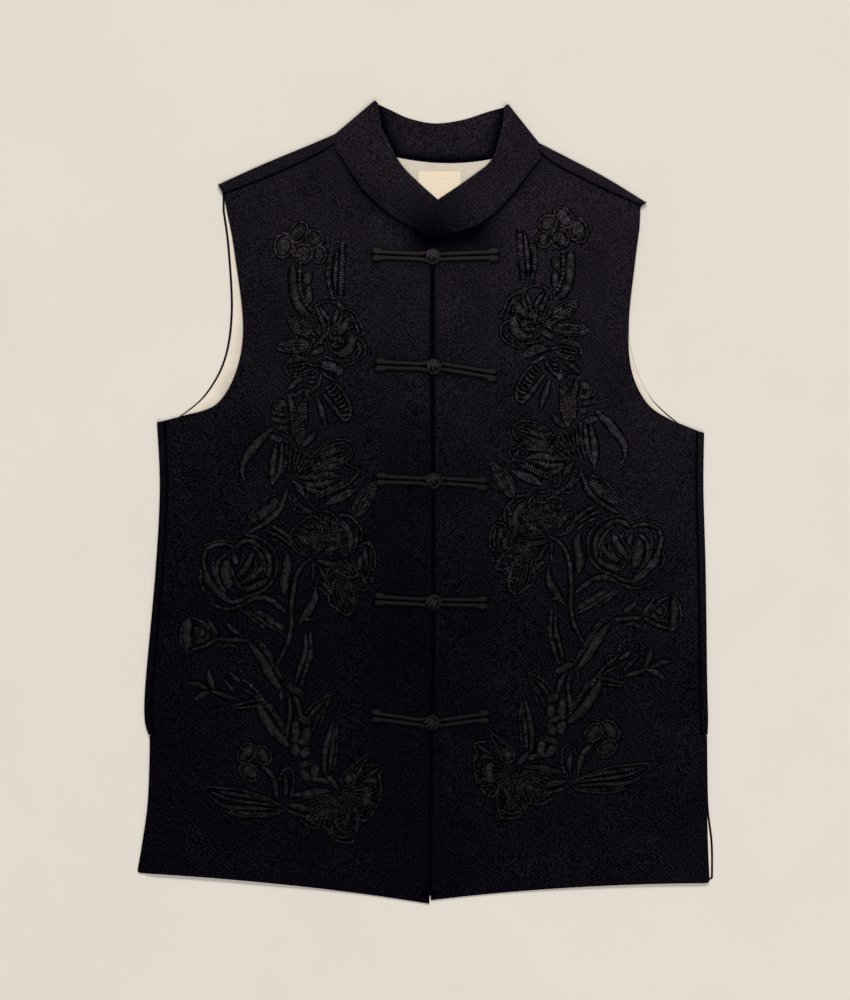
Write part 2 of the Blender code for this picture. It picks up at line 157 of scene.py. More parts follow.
RIGHT_SIDE = {
    Group.VENT: (
        Station("hem", (-243.0, -321.0), (-254.1, -326.5), (3.8, -353.5)),
        Station("flare", (-243.0, -300.0), (-249.4, -300.0), (4.0, -325.0)),
        Station("vent_low", (-243.0, -262.0), (-244.3, -262.0), (4.3, -281.0)),
        Station("vent_top", (-243.0, -209.5), (-242.4, -209.0), (4.6, -220.0)),
    ),
    Group.SIDE: (
        Station("vent_stop", (-243.8, -204.5), (-239.2, -204.5), (4.6, -215.5)),
        Station("side_end", (-247.2, -190.5), (-241.0, -190.5), (4.6, -203.0)),
        Station("hip", (-246.4, -158.0), (-240.0, -158.0), (5.8, -170.0)),
        Station("waist", (-237.8, -62.0), (-231.4, -62.0), (6.8, -75.0)),
        Station("ribs", (-233.9, 12.0), (-227.5, 12.0), (6.3, -2.0)),
        Station("underarm", (-236.4, 70.4), (-229.8, 71.0), (6.2, 42.0)),
    ),
    Group.ARMHOLE: (
        Station("arm_1", (-217.0, 75.0), (-213.0, 76.0), (6.2, 54.0)),
        Station("arm_2", (-195.0, 94.0), (-184.0, 86.0), (6.1, 77.0)),
        Station("arm_3", (-178.0, 125.0), (-166.5, 115.5), (6.0, 106.0)),
        Station("arm_4", (-171.7, 167.0), (-160.6, 157.0), (5.8, 143.0)),
        Station("arm_5", (-174.4, 222.0), (-168.8, 224.0), (5.4, 194.0)),
        Station("arm_6", (-178.8, 256.0), (-174.2, 252.0), (5.4, 214.0)),
    ),
    Group.SHOULDER: (
        Station("tip", (-182.9, 279.0), (-177.9, 271.0), (5.8, 231.3)),
        Station("shoulder_1", (-143.0, 297.0), (-139.0, 285.6), (-31.0, 251.3)),
        Station("shoulder_2", (-103.0, 313.6), (-99.5, 303.6), (-59.0, 277.4)),
        Station("neck", (-79.3, 323.8), (-78.6, 315.8), (-76.6, 311.2)),
    ),
}

LEFT_SIDE = {
    Group.VENT: (
        Station("hem", (252.7, -332.4), (249.6, -335.2), (4.0, -350.3)),
        Station("flare", (252.4, -300.0), (248.0, -297.4), (4.2, -322.0)),
        Station("vent_low", (248.6, -265.0), (247.2, -262.0), (4.4, -279.0)),
        Station("vent_top", (247.6, -209.5), (246.6, -209.0), (4.6, -220.0)),
    ),
    Group.SIDE: (
        Station("vent_stop", (247.7, -204.5), (242.6, -204.5), (4.6, -215.5)),
        Station("side_end", (248.3, -190.5), (241.9, -190.5), (4.6, -203.0)),
        Station("hip", (247.5, -158.0), (241.1, -158.0), (5.8, -170.0)),
        Station("waist", (246.2, -62.0), (239.8, -62.0), (6.8, -75.0)),
        Station("ribs", (244.2, 12.0), (237.8, 12.0), (6.3, -2.0)),
        Station("underarm", (244.8, 60.7), (238.4, 62.5), (6.2, 42.0)),
    ),
    Group.ARMHOLE: (
        Station("arm_1", (222.0, 69.6), (219.0, 70.3), (6.2, 54.0)),
        Station("arm_2", (199.0, 90.6), (195.5, 85.6), (6.1, 77.0)),
        Station("arm_3", (184.6, 119.2), (180.8, 115.5), (6.0, 106.0)),
        Station("arm_4", (178.8, 152.0), (178.4, 158.0), (5.8, 143.0)),
        Station("arm_5", (182.6, 206.0), (183.8, 210.0), (5.6, 188.0)),
        Station("arm_6", (187.4, 246.0), (188.0, 242.0), (5.8, 212.0)),
    ),
    Group.SHOULDER: (
        Station("tip", (194.4, 263.0), (188.8, 260.4), (5.8, 231.3)),
        Station("shoulder_1", (159.0, 284.8), (153.5, 276.6), (48.0, 243.6)),
        Station("shoulder_2", (121.0, 304.8), (116.5, 295.2), (80.0, 273.4)),
        Station("neck", (100.3, 315.4), (99.6, 307.2), (97.8, 302.8)),
    ),
}

BACK_WALL = 1.6
LINING_WALL = 1.0
FRONT_WALL = 1.8
COLLAR_WALL = 2.0
LABEL_WALL = 1.0
LAYER_GAP = 0.3
ROLL_RADIUS = 2.6
COLLAR_ROLL_RADIUS = 2.8
COLLAR_TOP_ROLL_RADIUS = 4.4
LINING_TOP = BACK_WALL + LAYER_GAP + LINING_WALL
FRONT_TOP = 2 * ROLL_RADIUS
LINING_INSET = 2.0
LINING_INSET_AT_ROLL = 4.6
# By height: at the left armhole the lining comes close to the back's edge.
LEFT_INSET_HEIGHTS = (76.0, 96.0, 262.0)
LEFT_INSETS = (2.0, 0.3, 0.3)
CENTRE_X = 5.4
HEM_BOW = 3.5
BACK_HEM_BOW = -4.0
NECK_DROP = 19.0
VENT_TOP = -209.0

FULLNESS = 2.6
FULLNESS_HALF_WIDTH = 240.0
FULLNESS_FROM_HEM = 90.0
FULLNESS_FROM_SHOULDER = 110.0
HEM_LINE = -350.0
SHOULDER_LINE = 305.0

# Sewn edges lap by this much, so that nothing shows between them.
SEWN_LAP = 0.1
# The closing edges leave a narrow slit, over the underlap, which is painted in full shade.
CENTRE_SLIT = 1.3
CENTRE_HEIGHTS = (-353.5, -281.0, -200.0, -170.0, -75.0, 0.0, 106.0, 231.3)
CENTRE_ACROSS = (3.8, 4.3, 4.6, 5.8, 6.8, 6.3, 6.0, 5.8)
ROW_SPACING = 6.0
HEM_ROWS = (0.0, 0.15, 0.4, 0.8, 1.3, 2.0, 3.2, 5.0, 8.0)
CORNER_ROUNDING = 4.6
EDGE_COLUMNS = (0.0, 0.12, 0.35, 0.7, 1.1, 1.6, 2.2, 3.0, 4.5, 7.0)
NARROW_ROW = 30.0
# A link's rows go straight from one group to the next, or keep to a free edge by this power.
LINK_ROWS = 5
LINK_HOLD = 8.0

# The cloth's slow, uneven waves: how high they are, how long across and up the garment, and
# what bends them.
RIPPLE = 0.16
RIPPLE_ACROSS, RIPPLE_ACROSS_BEND, RIPPLE_ACROSS_PACE = 31.0, 1.3, 57.0
RIPPLE_UP, RIPPLE_UP_BEND, RIPPLE_UP_PACE = 43.0, 0.8, 49.0


@dataclass(frozen=True)
class Fold:
    """A soft ridge (or a trough, below 0) in the cloth, from one point to another."""

    name: str
    start: tuple[float, float]
    end: tuple[float, float]
    spread: float
    height: float

    def rise(self, x: np.ndarray, y: np.ndarray) -> np.ndarray:
        """Height that the fold adds at each place."""
        along_x = self.end[0] - self.start[0]
        along_y = self.end[1] - self.start[1]
        squared = along_x ** 2 + along_y ** 2
        share = ((x - self.start[0]) * along_x + (y - self.start[1]) * along_y) / squared
        away = np.hypot(x - self.start[0] - along_x * share, y - self.start[1] - along_y * share)
        fade = smoothstep(2.0 * share) * smoothstep(2.0 * (1.0 - share))
        return self.height * fade * np.exp(-(away / self.spread) ** 2)


LARGE_FOLDS = (
    Fold("below_right_armhole", (-196.0, 44.0), (-140.0, 96.0), 13.0, 1.1),
    Fold("below_left_armhole", (162.0, 92.0), (222.0, 6.0), 14.0, 1.2),
    Fold("right_skirt", (-206.0, -286.0), (-176.0, -150.0), 20.0, 0.9),
    Fold("left_skirt", (196.0, -280.0), (178.0, -130.0), 22.0, 0.8),
    Fold("right_breast", (-70.0, 120.0), (-54.0, 10.0), 16.0, 0.7),
)

CREASES = (
    Fold("right_armhole_drag", (-222.0, 58.0), (-150.0, 128.0), 7.0, -0.55),
    Fold("right_underarm", (-226.0, 30.0), (-176.0, 66.0), 6.0, 0.45),
    Fold("right_side_pull", (-228.0, -20.0), (-186.0, 44.0), 8.0, -0.4),
    Fold("left_underarm", (150.0, 112.0), (238.0, -6.0), 7.5, -0.6),
    Fold("left_side_pull", (196.0, 40.0), (236.0, -44.0), 6.5, 0.5),
    Fold("left_waist", (212.0, -40.0), (236.0, -150.0), 9.0, -0.4),
    Fold("right_waist", (-224.0, -60.0), (-214.0, -170.0), 9.0, 0.4),
    Fold("right_hem_wave", (-232.0, -340.0), (-214.0, -232.0), 11.0, -0.5),
    Fold("right_corner", (-250.0, -318.0), (-206.0, -250.0), 10.0, 0.5),
    Fold("left_hem_wave", (222.0, -336.0), (206.0, -222.0), 12.0, -0.5),
    Fold("centre_right_rise", (-18.0, 110.0), (-22.0, -10.0), 9.0, 0.45),
    Fold("centre_left_rise", (25.0, 112.0), (24.0, 12.0), 8.0, 0.55),
    Fold("centre_left_dip", (38.0, 150.0), (36.0, -30.0), 9.0, -0.35),
    Fold("right_shoulder_drag", (-160.0, 262.0), (-96.0, 236.0), 9.0, 0.35),
    Fold("left_shoulder_drag", (172.0, 250.0), (104.0, 226.0), 9.0, 0.4),
    Fold("right_chest", (-150.0, 214.0), (-140.0, 130.0), 9.0, -0.3),
    Fold("left_chest", (160.0, 210.0), (156.0, 120.0), 9.0, -0.35),
    Fold("skirt_middle_right", (-40.0, -345.0), (-28.0, -240.0), 14.0, 0.45),
    Fold("skirt_middle_left", (62.0, -345.0), (46.0, -230.0), 15.0, 0.4),
    Fold("skirt_right_dip", (-120.0, -345.0), (-104.0, -300.0), 13.0, -0.35),
    Fold("skirt_left_dip", (130.0, -342.0), (118.0, -292.0), 14.0, -0.35),
)

LINING_CREASES = (
    Fold("right_arm_pull", (-222.0, 82.0), (-168.0, 150.0), 5.0, 0.3),
    Fold("right_arm_tuck", (-186.0, 118.0), (-150.0, 220.0), 6.0, -0.3),
    Fold("left_arm_pull", (226.0, 76.0), (174.0, 140.0), 5.0, 0.3),
    Fold("left_arm_tuck", (196.0, 116.0), (160.0, 230.0), 6.0, -0.3),
    Fold("neck_left", (44.0, 306.0), (60.0, 262.0), 5.0, 0.3),
    Fold("neck_right", (-22.0, 304.0), (-36.0, 262.0), 5.0, -0.25),
    Fold("vent_right", (-243.0, -320.0), (-226.0, -230.0), 7.0, 0.3),
    Fold("vent_left", (247.0, -320.0), (230.0, -230.0), 7.0, 0.3),
)


def cloth_top(x: np.ndarray, y: np.ndarray) -> np.ndarray:
    """Height of the fronts' outer face at each place, with every fold."""
    across = np.minimum(1.0, np.abs(x - CENTRE_X) / FULLNESS_HALF_WIDTH)
    up = smoothstep((y - HEM_LINE) / FULLNESS_FROM_HEM)
    down = smoothstep((SHOULDER_LINE - y) / FULLNESS_FROM_SHOULDER)
    top = FRONT_TOP + FULLNESS * np.sin(math.pi * across) * up * down
    for fold in LARGE_FOLDS + CREASES:
        top = top + fold.rise(x, y)
    slow = np.sin(x / RIPPLE_ACROSS + RIPPLE_ACROSS_BEND * np.sin(y / RIPPLE_ACROSS_PACE))
    slow = slow * np.sin(y / RIPPLE_UP + RIPPLE_UP_BEND * np.sin(x / RIPPLE_UP_PACE))
    return top + RIPPLE * slow * up * down


@dataclass
class Rows:
    """Lines across one side of the garment, from the hem to the neck."""

    groups: list[Group]
    shares: np.ndarray
    back: np.ndarray
    flat: np.ndarray
    front: np.ndarray
    inner: np.ndarray

    def sewn(self) -> np.ndarray:
        """Which rows have the back rolled over and sewn to the front."""
        return np.array([group in (Group.SIDE, Group.SHOULDER) for group in self.groups])

    def front_lines(self, kinds: Sequence[Group]) -> list[np.ndarray]:
        """Stretches of the front's outer edge that lie in the given groups."""
        return split_line(self.front, [group in kinds for group in self.groups])


def split_line(line: np.ndarray, wanted: Sequence[bool]) -> list[np.ndarray]:
    """Cut a line into its wanted stretches of two points or more."""
    stretches = []
    current: list[np.ndarray] = []
    for point, keep in zip(line, wanted):
        if keep:
            current.append(point)
            continue
        if len(current) > 1:
            stretches.append(np.array(current))
        current = []
    if len(current) > 1:
        stretches.append(np.array(current))
    return stretches


def stretch_steps(group: Group) -> int:
    """Rows between two stations of a group, the same on both sides of the garment."""
    longest = 0.0
    for side in (RIGHT_SIDE, LEFT_SIDE):
        for first, second in zip(side[group], side[group][1:]):
            for name in ("back", "front", "inner"):
                longest = max(longest, math.dist(getattr(first, name), getattr(second, name)))
    return max(3, math.ceil(longest / ROW_SPACING))


def side_rows(side: dict[Group, tuple[Station, ...]]) -> Rows:
    """Lay the fine rows of one side of the garment.

    Args:
        side: the stations of that side, in their groups.

    Returns:
        The rows, with the groups joined by straight stretches.
    """
    groups: list[Group] = []
    shares: list[float] = []
    backs, flats, fronts, inners = [], [], [], []
    for group, stations in side.items():
        steps = stretch_steps(group)
        lines = [smooth_line([getattr(station, name) for station in stations], steps)
                 for name in ("back", "front", "inner")]
        back, front, inner = lines
        if group is Group.VENT:
            first_stretch = math.dist(stations[0].front, stations[1].front)
            extra = np.array(HEM_ROWS[1:]) / first_stretch
            places = np.arange(len(back)) / steps
            wanted = np.unique(np.concatenate((places, extra)))
            back, front, inner = (
                np.column_stack([np.interp(wanted, places, column) for column in line.T])
                for line in lines)
            above = np.minimum(1.0, wanted * first_stretch / CORNER_ROUNDING)
            cut = CORNER_ROUNDING * (1.0 - np.sqrt(1.0 - (1.0 - above) ** 2))
            front[:, 0] -= np.sign(front[:, 0]) * cut
            back[:, 0] -= np.sign(back[:, 0]) * cut
        flat = back.copy()
        if group in (Group.SIDE, Group.SHOULDER):
            across = front - back
            flat += across / np.linalg.norm(across, axis=1)[:, None] * ROLL_RADIUS
        count = len(back)
        if groups:
            starts = (backs[-1], flats[-1], fronts[-1], inners[-1])
            free = groups[-1]
            back_power = LINK_HOLD if free in (Group.VENT, Group.ARMHOLE) else 1.0
            front_power = LINK_HOLD if free is Group.VENT else 1.0
            powers = (back_power, back_power, front_power, front_power)
            for step in range(1, LINK_ROWS):
                groups.append(Group.LINK)
                shares.append(0.0)
                links = zip((backs, flats, fronts, inners), starts, (back, flat, front, inner), powers)
                for gathered, start, line, power in links:
                    share = np.array(((step / LINK_ROWS) ** power, step / LINK_ROWS))
                    gathered.append(start + (line[0] - start) * share)
        groups.extend([group] * count)
        shares.extend(np.arange(count) / (count - 1))
        for gathered, line in zip((backs, flats, fronts, inners), (back, flat, front, inner)):
            gathered.extend(line)
    return Rows(groups, np.array(shares), *(np.array(part) for part in (backs, flats, fronts, inners)))


def column_shares(length: float, middle: int) -> np.ndarray:
    """Places across a row, close together near its two ends."""
    edges = np.array(EDGE_COLUMNS) / max(length, NARROW_ROW)
    inside = np.linspace(edges[-1], 1.0 - edges[-1], middle + 2)[1:-1]
    return np.concatenate((edges, inside, 1.0 - edges[::-1]))


# ---------------------------------------------------------------- meshes

def new_piece(name: str, points: np.ndarray, faces: Sequence[Sequence[int]],
              material: bpy.types.Material) -> bpy.types.Object:
    """Make a smooth-shaded object from points in millimetres.

    Args:
        name: the object's name.
        points: one row for each point; a fourth number says how much shade is painted on it, 0 to 1.
        faces: the corners of each face.
        material: its finish.

    Returns:
        The new object, linked to the scene.
    """
    mesh = bpy.data.meshes.new(name)
    places = np.asarray(points)[:, :3] * MM
    mesh.from_pydata(places.tolist(), [], [list(face) for face in faces])
    if np.shape(points)[1] == 4:
        # The fourth number is painted shade, which the finishes use to darken the colour.
        layer = mesh.attributes.new("painted_shade", "FLOAT", "POINT")
        layer.data.foreach_set("value", np.asarray(points)[:, 3].astype(np.float32))
    mesh.materials.append(material)
    mesh.shade_smooth()
    piece = bpy.data.objects.new(name, mesh)
    bpy.context.collection.objects.link(piece)
    return piece


def closed_sheet(outer: np.ndarray, inner: np.ndarray, present: Optional[np.ndarray] = None,
                 flip: bool = False) -> tuple[np.ndarray, list[tuple[int, ...]]]:
    """Join the two faces of a sheet of cloth round its edges.

    Args:
        outer: a grid of points, rows by columns.
        inner: the other face, on the same grid.
        present: which points of the grid are in use; all of them if left out.
        flip: turn the faces over.

    Returns:
        The points and the faces of the closed shell.
    """
    rows, columns = outer.shape[:2]
    used = np.ones((rows, columns), dtype=bool) if present is None else present
    number = np.arange(rows * columns).reshape(rows, columns)
    cell = used[:-1, :-1] & used[1:, :-1] & used[:-1, 1:] & used[1:, 1:]
    framed = np.pad(cell, 1)
    corners = (number[:-1, :-1], number[:-1, 1:], number[1:, 1:], number[1:, :-1])
    neighbours = (framed[:-2, 1:-1], framed[1:-1, 2:], framed[2:, 1:-1], framed[1:-1, :-2])
    under = rows * columns
    quads = np.stack([corner[cell] for corner in corners], axis=1)
    faces = [quads, quads[:, ::-1] + under]
    for edge, neighbour in enumerate(neighbours):
        rim = cell & ~neighbour
        start = corners[edge][rim]
        end = corners[(edge + 1) % 4][rim]
        faces.append(np.stack((end, start, start + under, end + under), axis=1))
    every = np.concatenate(faces)
    if flip:
        every = every[:, ::-1]
    width = outer.shape[2]
    points = np.concatenate((outer.reshape(-1, width), inner.reshape(-1, width)))
    kept, renumbered = np.unique(every, return_inverse=True)
    return points[kept], renumbered.reshape(every.shape).tolist()


# ---------------------------------------------------------------- finishes

def to_linear(colour: str) -> tuple[float, float, float, float]:
    """Turn an sRGB hex colour into the linear one that the shader takes."""
    channels = []
    for start in (1, 3, 5):
        value = int(colour[start:start + 2], 16) / 255.0
        channels.append(value / 12.92 if value <= 0.04045 else ((value + 0.055) / 1.055) ** 2.4)
    return (*channels, 1.0)


def add_node(material: bpy.types.Material, kind: str, settings: dict[str, object],
             inputs: dict[str | int, object]) -> bpy.types.Node:
    """Add one shader node.

    Args:
        material: where the node goes.
        kind: Blender's name of the node's type.
        settings: the node's own properties.
        inputs: what each input is set to, or the output that feeds it.

    Returns:
        The new node.
    """
    tree = material.node_tree
    node = tree.nodes.new(kind)
    for name, setting in settings.items():
        setattr(node, name, setting)
    for name, value in inputs.items():
        if isinstance(value, bpy.types.NodeSocket):
            tree.links.new(value, node.inputs[name])
        else:
            node.inputs[name].default_value = value
    return node


def per_metre(millimetres: float) -> float:
    """Scale of a noise pattern whose features are that large."""
    return 1.0 / (millimetres * MM)


def wave_scale(millimetres: float) -> float:
    """Scale of a wave pattern that repeats at that distance."""
    return math.tau / 20.0 / (millimetres * MM)


@dataclass(frozen=True)
class Finish:
    """What every finish sets on the shader's own sockets, and how its pattern fades.

    Black cloth and thread are painted lighter towards the left shoulder, as painted light from the lamp
    beyond the collar: fade_tilt, fade_low and fade_high say how far up and across the garment, in metres.
    """

    name: str
    colours: tuple[str, str]
    roughness: float
    specular: float = 0.5
    sheen: float = 0.0
    sheen_roughness: float = 0.5
    sheen_tint: str = "#FFFFFF"
    fade_tilt: float = 0.35
    fade_low: float = -0.30
    fade_high: float = 0.21
    fade_least: float = 0.40
    fade_curve: float = 2.0

    def begin(self) -> tuple[bpy.types.Material, bpy.types.Node, bpy.types.NodeSocket]:
        """Make the material with its plain values set, and give its shader and its places."""
        material = bpy.data.materials.new(self.name)
        material.use_nodes = True
        shader = material.node_tree.nodes["Principled BSDF"]
        plain = {"Base Color": to_linear(self.colours[0]), "Roughness": self.roughness,
                 "Specular IOR Level": self.specular, "Sheen Weight": self.sheen,
                 "Sheen Roughness": self.sheen_roughness, "Sheen Tint": to_linear(self.sheen_tint)}
        for name, value in plain.items():
            shader.inputs[name].default_value = value
        return material, shader, add_node(material, "ShaderNodeTexCoord", {}, {}).outputs["Object"]

    def tones(self, material: bpy.types.Material, shader: bpy.types.Node,
              factor: bpy.types.NodeSocket) -> None:
        """Blend the two colours by a pattern."""
        dark, light = (to_linear(colour) for colour in self.colours)
        blend = add_node(material, "ShaderNodeMix", {"data_type": "RGBA"},
                         {"Factor": factor, "A": dark, "B": light})
        material.node_tree.links.new(blend.outputs["Result"], shader.inputs["Base Color"])

    def relief(self, material: bpy.types.Material, shader: bpy.types.Node,
               *layers: tuple[bpy.types.NodeSocket, float, float]) -> None:
        """Raise patterns on one another: each one's heights, its strength and its depth."""
        under: dict[str | int, object] = {}
        for heights, strength, depth in layers:
            bump = add_node(material, "ShaderNodeBump", {}, {
                "Strength": strength, "Distance": depth * MM, "Height": heights, **under})
            under = {"Normal": bump.outputs["Normal"]}
        material.node_tree.links.new(under["Normal"], shader.inputs["Normal"])

    def raised(self, material: bpy.types.Material) -> bpy.types.NodeSocket:
        """One less the painted shade: how clear each place is of the shade painted at seams, folds and
        beside stitches.
        """
        painted_shade = add_node(material, "ShaderNodeAttribute", {"attribute_name": "painted_shade"}, {})
        return add_node(material, "ShaderNodeMath", {"operation": "SUBTRACT"},
                        {0: 1.0, 1: painted_shade.outputs["Fac"]}).outputs["Value"]

    def with_painted_light(self, material: bpy.types.Material, place: bpy.types.NodeSocket,
              pattern: bpy.types.NodeSocket) -> bpy.types.NodeSocket:
        """Paint light and shade on a pattern: weaken it where shade is painted, and towards the hem down
        to a least share, as painted light.
        """
        axes = add_node(material, "ShaderNodeSeparateXYZ", {}, {"Vector": place}).outputs
        height = add_node(material, "ShaderNodeMath", {"operation": "MULTIPLY_ADD"},
                          {0: axes["X"], 1: self.fade_tilt, 2: axes["Y"]}).outputs["Value"]
        share = add_node(material, "ShaderNodeMapRange", {},
                         {"Value": height, "From Min": self.fade_low,
                          "From Max": self.fade_high}).outputs["Result"]
        bent = add_node(material, "ShaderNodeMath", {"operation": "POWER"},
                        {0: share, 1: self.fade_curve}).outputs["Value"]
        lit_share = add_node(material, "ShaderNodeMath", {"operation": "MULTIPLY_ADD"},
                        {0: bent, 1: 1.0 - self.fade_least, 2: self.fade_least}).outputs["Value"]
        clear = add_node(material, "ShaderNodeMath", {"operation": "MULTIPLY"},
                         {0: lit_share, 1: self.raised(material)}).outputs["Value"]
        return add_node(material, "ShaderNodeMath", {"operation": "MULTIPLY"},
                        {0: pattern, 1: clear}).outputs["Value"]


@dataclass(frozen=True)
class WoolCrepe(Finish):
    """Black crepe, woven from tightly twisted wool and lightly milled.

    The twist gives a dry, finely pebbled face with no gloss; the milled hairs give it a little
    bloom where the light grazes it. Its colour is painted lighter towards the shoulders as painted
    light, and painted in shade along seams, folds and beside stitches.
    """

    pebble: float = 1.3
    twill: float = 2.3
    bloom: float = 60.0
    pebble_depth: float = 0.30
    twill_depth: float = 0.16
    twill_share: float = 0.05
    grain_from: float = 0.44
    grain_to: float = 0.66
    bloom_least: float = 0.6
    bloom_most: float = 1.3
    hem_fade: float = 0.40
    length: float = 0.70
    light_curve: float = 1.75
    least: float = 0.20
    least_fade: float = 0.35
    side_fade: float = 0.45
    grain_even: float = 0.22
    grain_lit: float = 0.36
    grain_mean: float = 0.33

    def painted_light(self, material: bpy.types.Material, place: bpy.types.NodeSocket,
             ) -> bpy.types.NodeSocket:
        """Painted light: how much lighter the cloth is painted, least at the hem, most at the shoulders.
        """
        axes = add_node(material, "ShaderNodeSeparateXYZ", {}, {"Vector": place}).outputs
        aside = add_node(material, "ShaderNodeMath", {"operation": "MULTIPLY_ADD"},
                         {0: axes["X"], 1: self.side_fade, 2: self.hem_fade}).outputs["Value"]
        height = add_node(material, "ShaderNodeMath", {"operation": "ADD"},
                          {0: axes["Y"], 1: aside}).outputs["Value"]
        share = add_node(material, "ShaderNodeMath", {"operation": "DIVIDE", "use_clamp": True},
                         {0: height, 1: self.length}).outputs["Value"]
        lit_share = add_node(material, "ShaderNodeMath", {"operation": "POWER"},
                        {0: share, 1: self.light_curve}).outputs["Value"]
        least = add_node(material, "ShaderNodeMath", {"operation": "MULTIPLY_ADD"},
                         {0: axes["X"], 1: self.least_fade, 2: self.least}).outputs["Value"]
        return add_node(material, "ShaderNodeMath", {"operation": "MAXIMUM"},
                        {0: lit_share, 1: least}).outputs["Value"]

    def build(self) -> bpy.types.Material:
        """Make the material; the real 0.5 mm pebble is drawn at 1.3 mm, so that it shows."""
        material, shader, place = self.begin()
        pebbles = add_node(material, "ShaderNodeTexNoise", {}, {
            "Vector": place, "Scale": per_metre(self.pebble), "Detail": 2.0,
            "Roughness": 0.5}).outputs["Fac"]
        ribs = add_node(material, "ShaderNodeTexWave",
                        {"wave_type": "BANDS", "bands_direction": "DIAGONAL"}, {
                            "Vector": place, "Scale": wave_scale(self.twill), "Distortion": 4.0,
                            "Detail": 2.0, "Detail Scale": 2.5}).outputs["Fac"]
        bloom = add_node(material, "ShaderNodeTexNoise", {}, {
            "Vector": place, "Scale": per_metre(self.bloom), "Detail": 4.0,
            "Roughness": 0.65}).outputs["Fac"]
        grain = add_node(material, "ShaderNodeMath", {"operation": "MULTIPLY_ADD"},
                         {0: ribs, 1: self.twill_share, 2: pebbles}).outputs["Value"]
        crisp = add_node(material, "ShaderNodeMapRange", {}, {
            "Value": grain, "From Min": self.grain_from,
            "From Max": self.grain_to}).outputs["Result"]
        clouds = add_node(material, "ShaderNodeMapRange", {}, {
            "Value": bloom, "From Min": 0.25, "From Max": 0.75, "To Min": self.bloom_least,
            "To Max": self.bloom_most}).outputs["Result"]
        # Random clouds of tone, darkened by the painted shade.
        cover = add_node(material, "ShaderNodeMath", {"operation": "MULTIPLY"},
                         {0: clouds, 1: self.raised(material)}).outputs["Value"]
        lit_share = self.painted_light(material, place)
        # The grain's contrast and mean follow the painted light, strongest at the shoulders.
        swing = add_node(material, "ShaderNodeMath", {"operation": "MULTIPLY_ADD"},
                         {0: lit_share, 1: self.grain_lit, 2: self.grain_even}).outputs["Value"]
        ground = add_node(material, "ShaderNodeMath", {"operation": "MULTIPLY_ADD"},
                          {0: lit_share, 1: self.grain_mean * (1.0 - self.grain_lit),
                           2: -self.grain_mean * self.grain_even}).outputs["Value"]
        toned = add_node(material, "ShaderNodeMath",
                         {"operation": "MULTIPLY_ADD", "use_clamp": True},
                         {0: crisp, 1: swing, 2: ground}).outputs["Value"]
        factor = add_node(material, "ShaderNodeMath", {"operation": "MULTIPLY"},
                          {0: toned, 1: cover}).outputs["Value"]
        self.tones(material, shader, factor)
        self.relief(material, shader, (ribs, 0.8, self.twill_depth),
                    (pebbles, 1.0, self.pebble_depth))
        return material


@dataclass(frozen=True)
class Thread(Finish):
    """Soft-twisted rayon thread, laid side by side over padding.

    The floats shine along their crowns; their sides, and where they dive into the cloth, are painted
    in shade, and they are painted lighter towards the left shoulder.
    """

    strand: float = 0.9
    strand_depth: float = 0.12
    speck: float = 1.4
    patch: float = 5.0
    dull_below: float = 0.15
    bright_above: float = 0.36

    def build(self) -> bpy.types.Material:
        """Make the material; the strands run across each stitch, by its own coordinates."""
        material, shader, place = self.begin()
        laid = add_node(material, "ShaderNodeUVMap", {"uv_map": "stitch"}, {}).outputs["UV"]
        strands = add_node(material, "ShaderNodeTexWave",
                           {"wave_type": "BANDS", "bands_direction": "X"}, {
                               "Vector": laid, "Scale": wave_scale(self.strand),
                               "Distortion": 0.6, "Detail": 1.0}).outputs["Fac"]
        uneven = add_node(material, "ShaderNodeTexNoise", {}, {
            "Vector": place, "Scale": per_metre(self.patch), "Detail": 3.0}).outputs["Fac"]
        specks = add_node(material, "ShaderNodeTexNoise", {}, {
            "Vector": place, "Scale": per_metre(self.speck), "Detail": 1.0}).outputs["Fac"]
        both = add_node(material, "ShaderNodeMath", {"operation": "MULTIPLY"},
                        {0: specks, 1: uneven}).outputs["Value"]
        spread = add_node(material, "ShaderNodeMapRange", {}, {
            "Value": both, "From Min": self.dull_below,
            "From Max": self.bright_above}).outputs["Result"]
        self.tones(material, shader, self.with_painted_light(material, place, spread))
        self.relief(material, shader, (strands, 0.9, self.strand_depth))
        return material


@dataclass(frozen=True)
class Rouleau(Finish):
    """Bias strips of fine black wool, sewn into tubes and turned right side out.

    The weave crosses the tube aslant; the tube's sides are painted in shade so that its crown reads
    lit, and it is painted lighter towards the left shoulder.
    """

    fade_curve: float = 3.0
    weave: float = 1.1
    grain: float = 1.3
    grain_least: float = 0.6
    depth: float = 0.10

    def build(self) -> bpy.types.Material:
        """Make the material; the bias weave winds round each tube by its own coordinates."""
        material, shader, place = self.begin()
        laid = add_node(material, "ShaderNodeUVMap", {"uv_map": "stitch"}, {}).outputs["UV"]
        bias = add_node(material, "ShaderNodeTexWave",
                        {"wave_type": "BANDS", "bands_direction": "DIAGONAL"}, {
                            "Vector": laid, "Scale": wave_scale(self.weave), "Distortion": 0.8,
                            "Detail": 2.0}).outputs["Fac"]
        grain = add_node(material, "ShaderNodeTexNoise", {}, {
            "Vector": place, "Scale": per_metre(self.grain), "Detail": 3.0}).outputs["Fac"]
        tone = add_node(material, "ShaderNodeMapRange", {}, {
            "Value": grain, "From Min": 0.3, "From Max": 0.7,
            "To Min": self.grain_least}).outputs["Result"]
        self.tones(material, shader, self.with_painted_light(material, place, tone))
        both = add_node(material, "ShaderNodeMath", {"operation": "ADD"},
                        {0: bias, 1: grain}).outputs["Value"]
        self.relief(material, shader, (both, 0.8, self.depth))
        return material


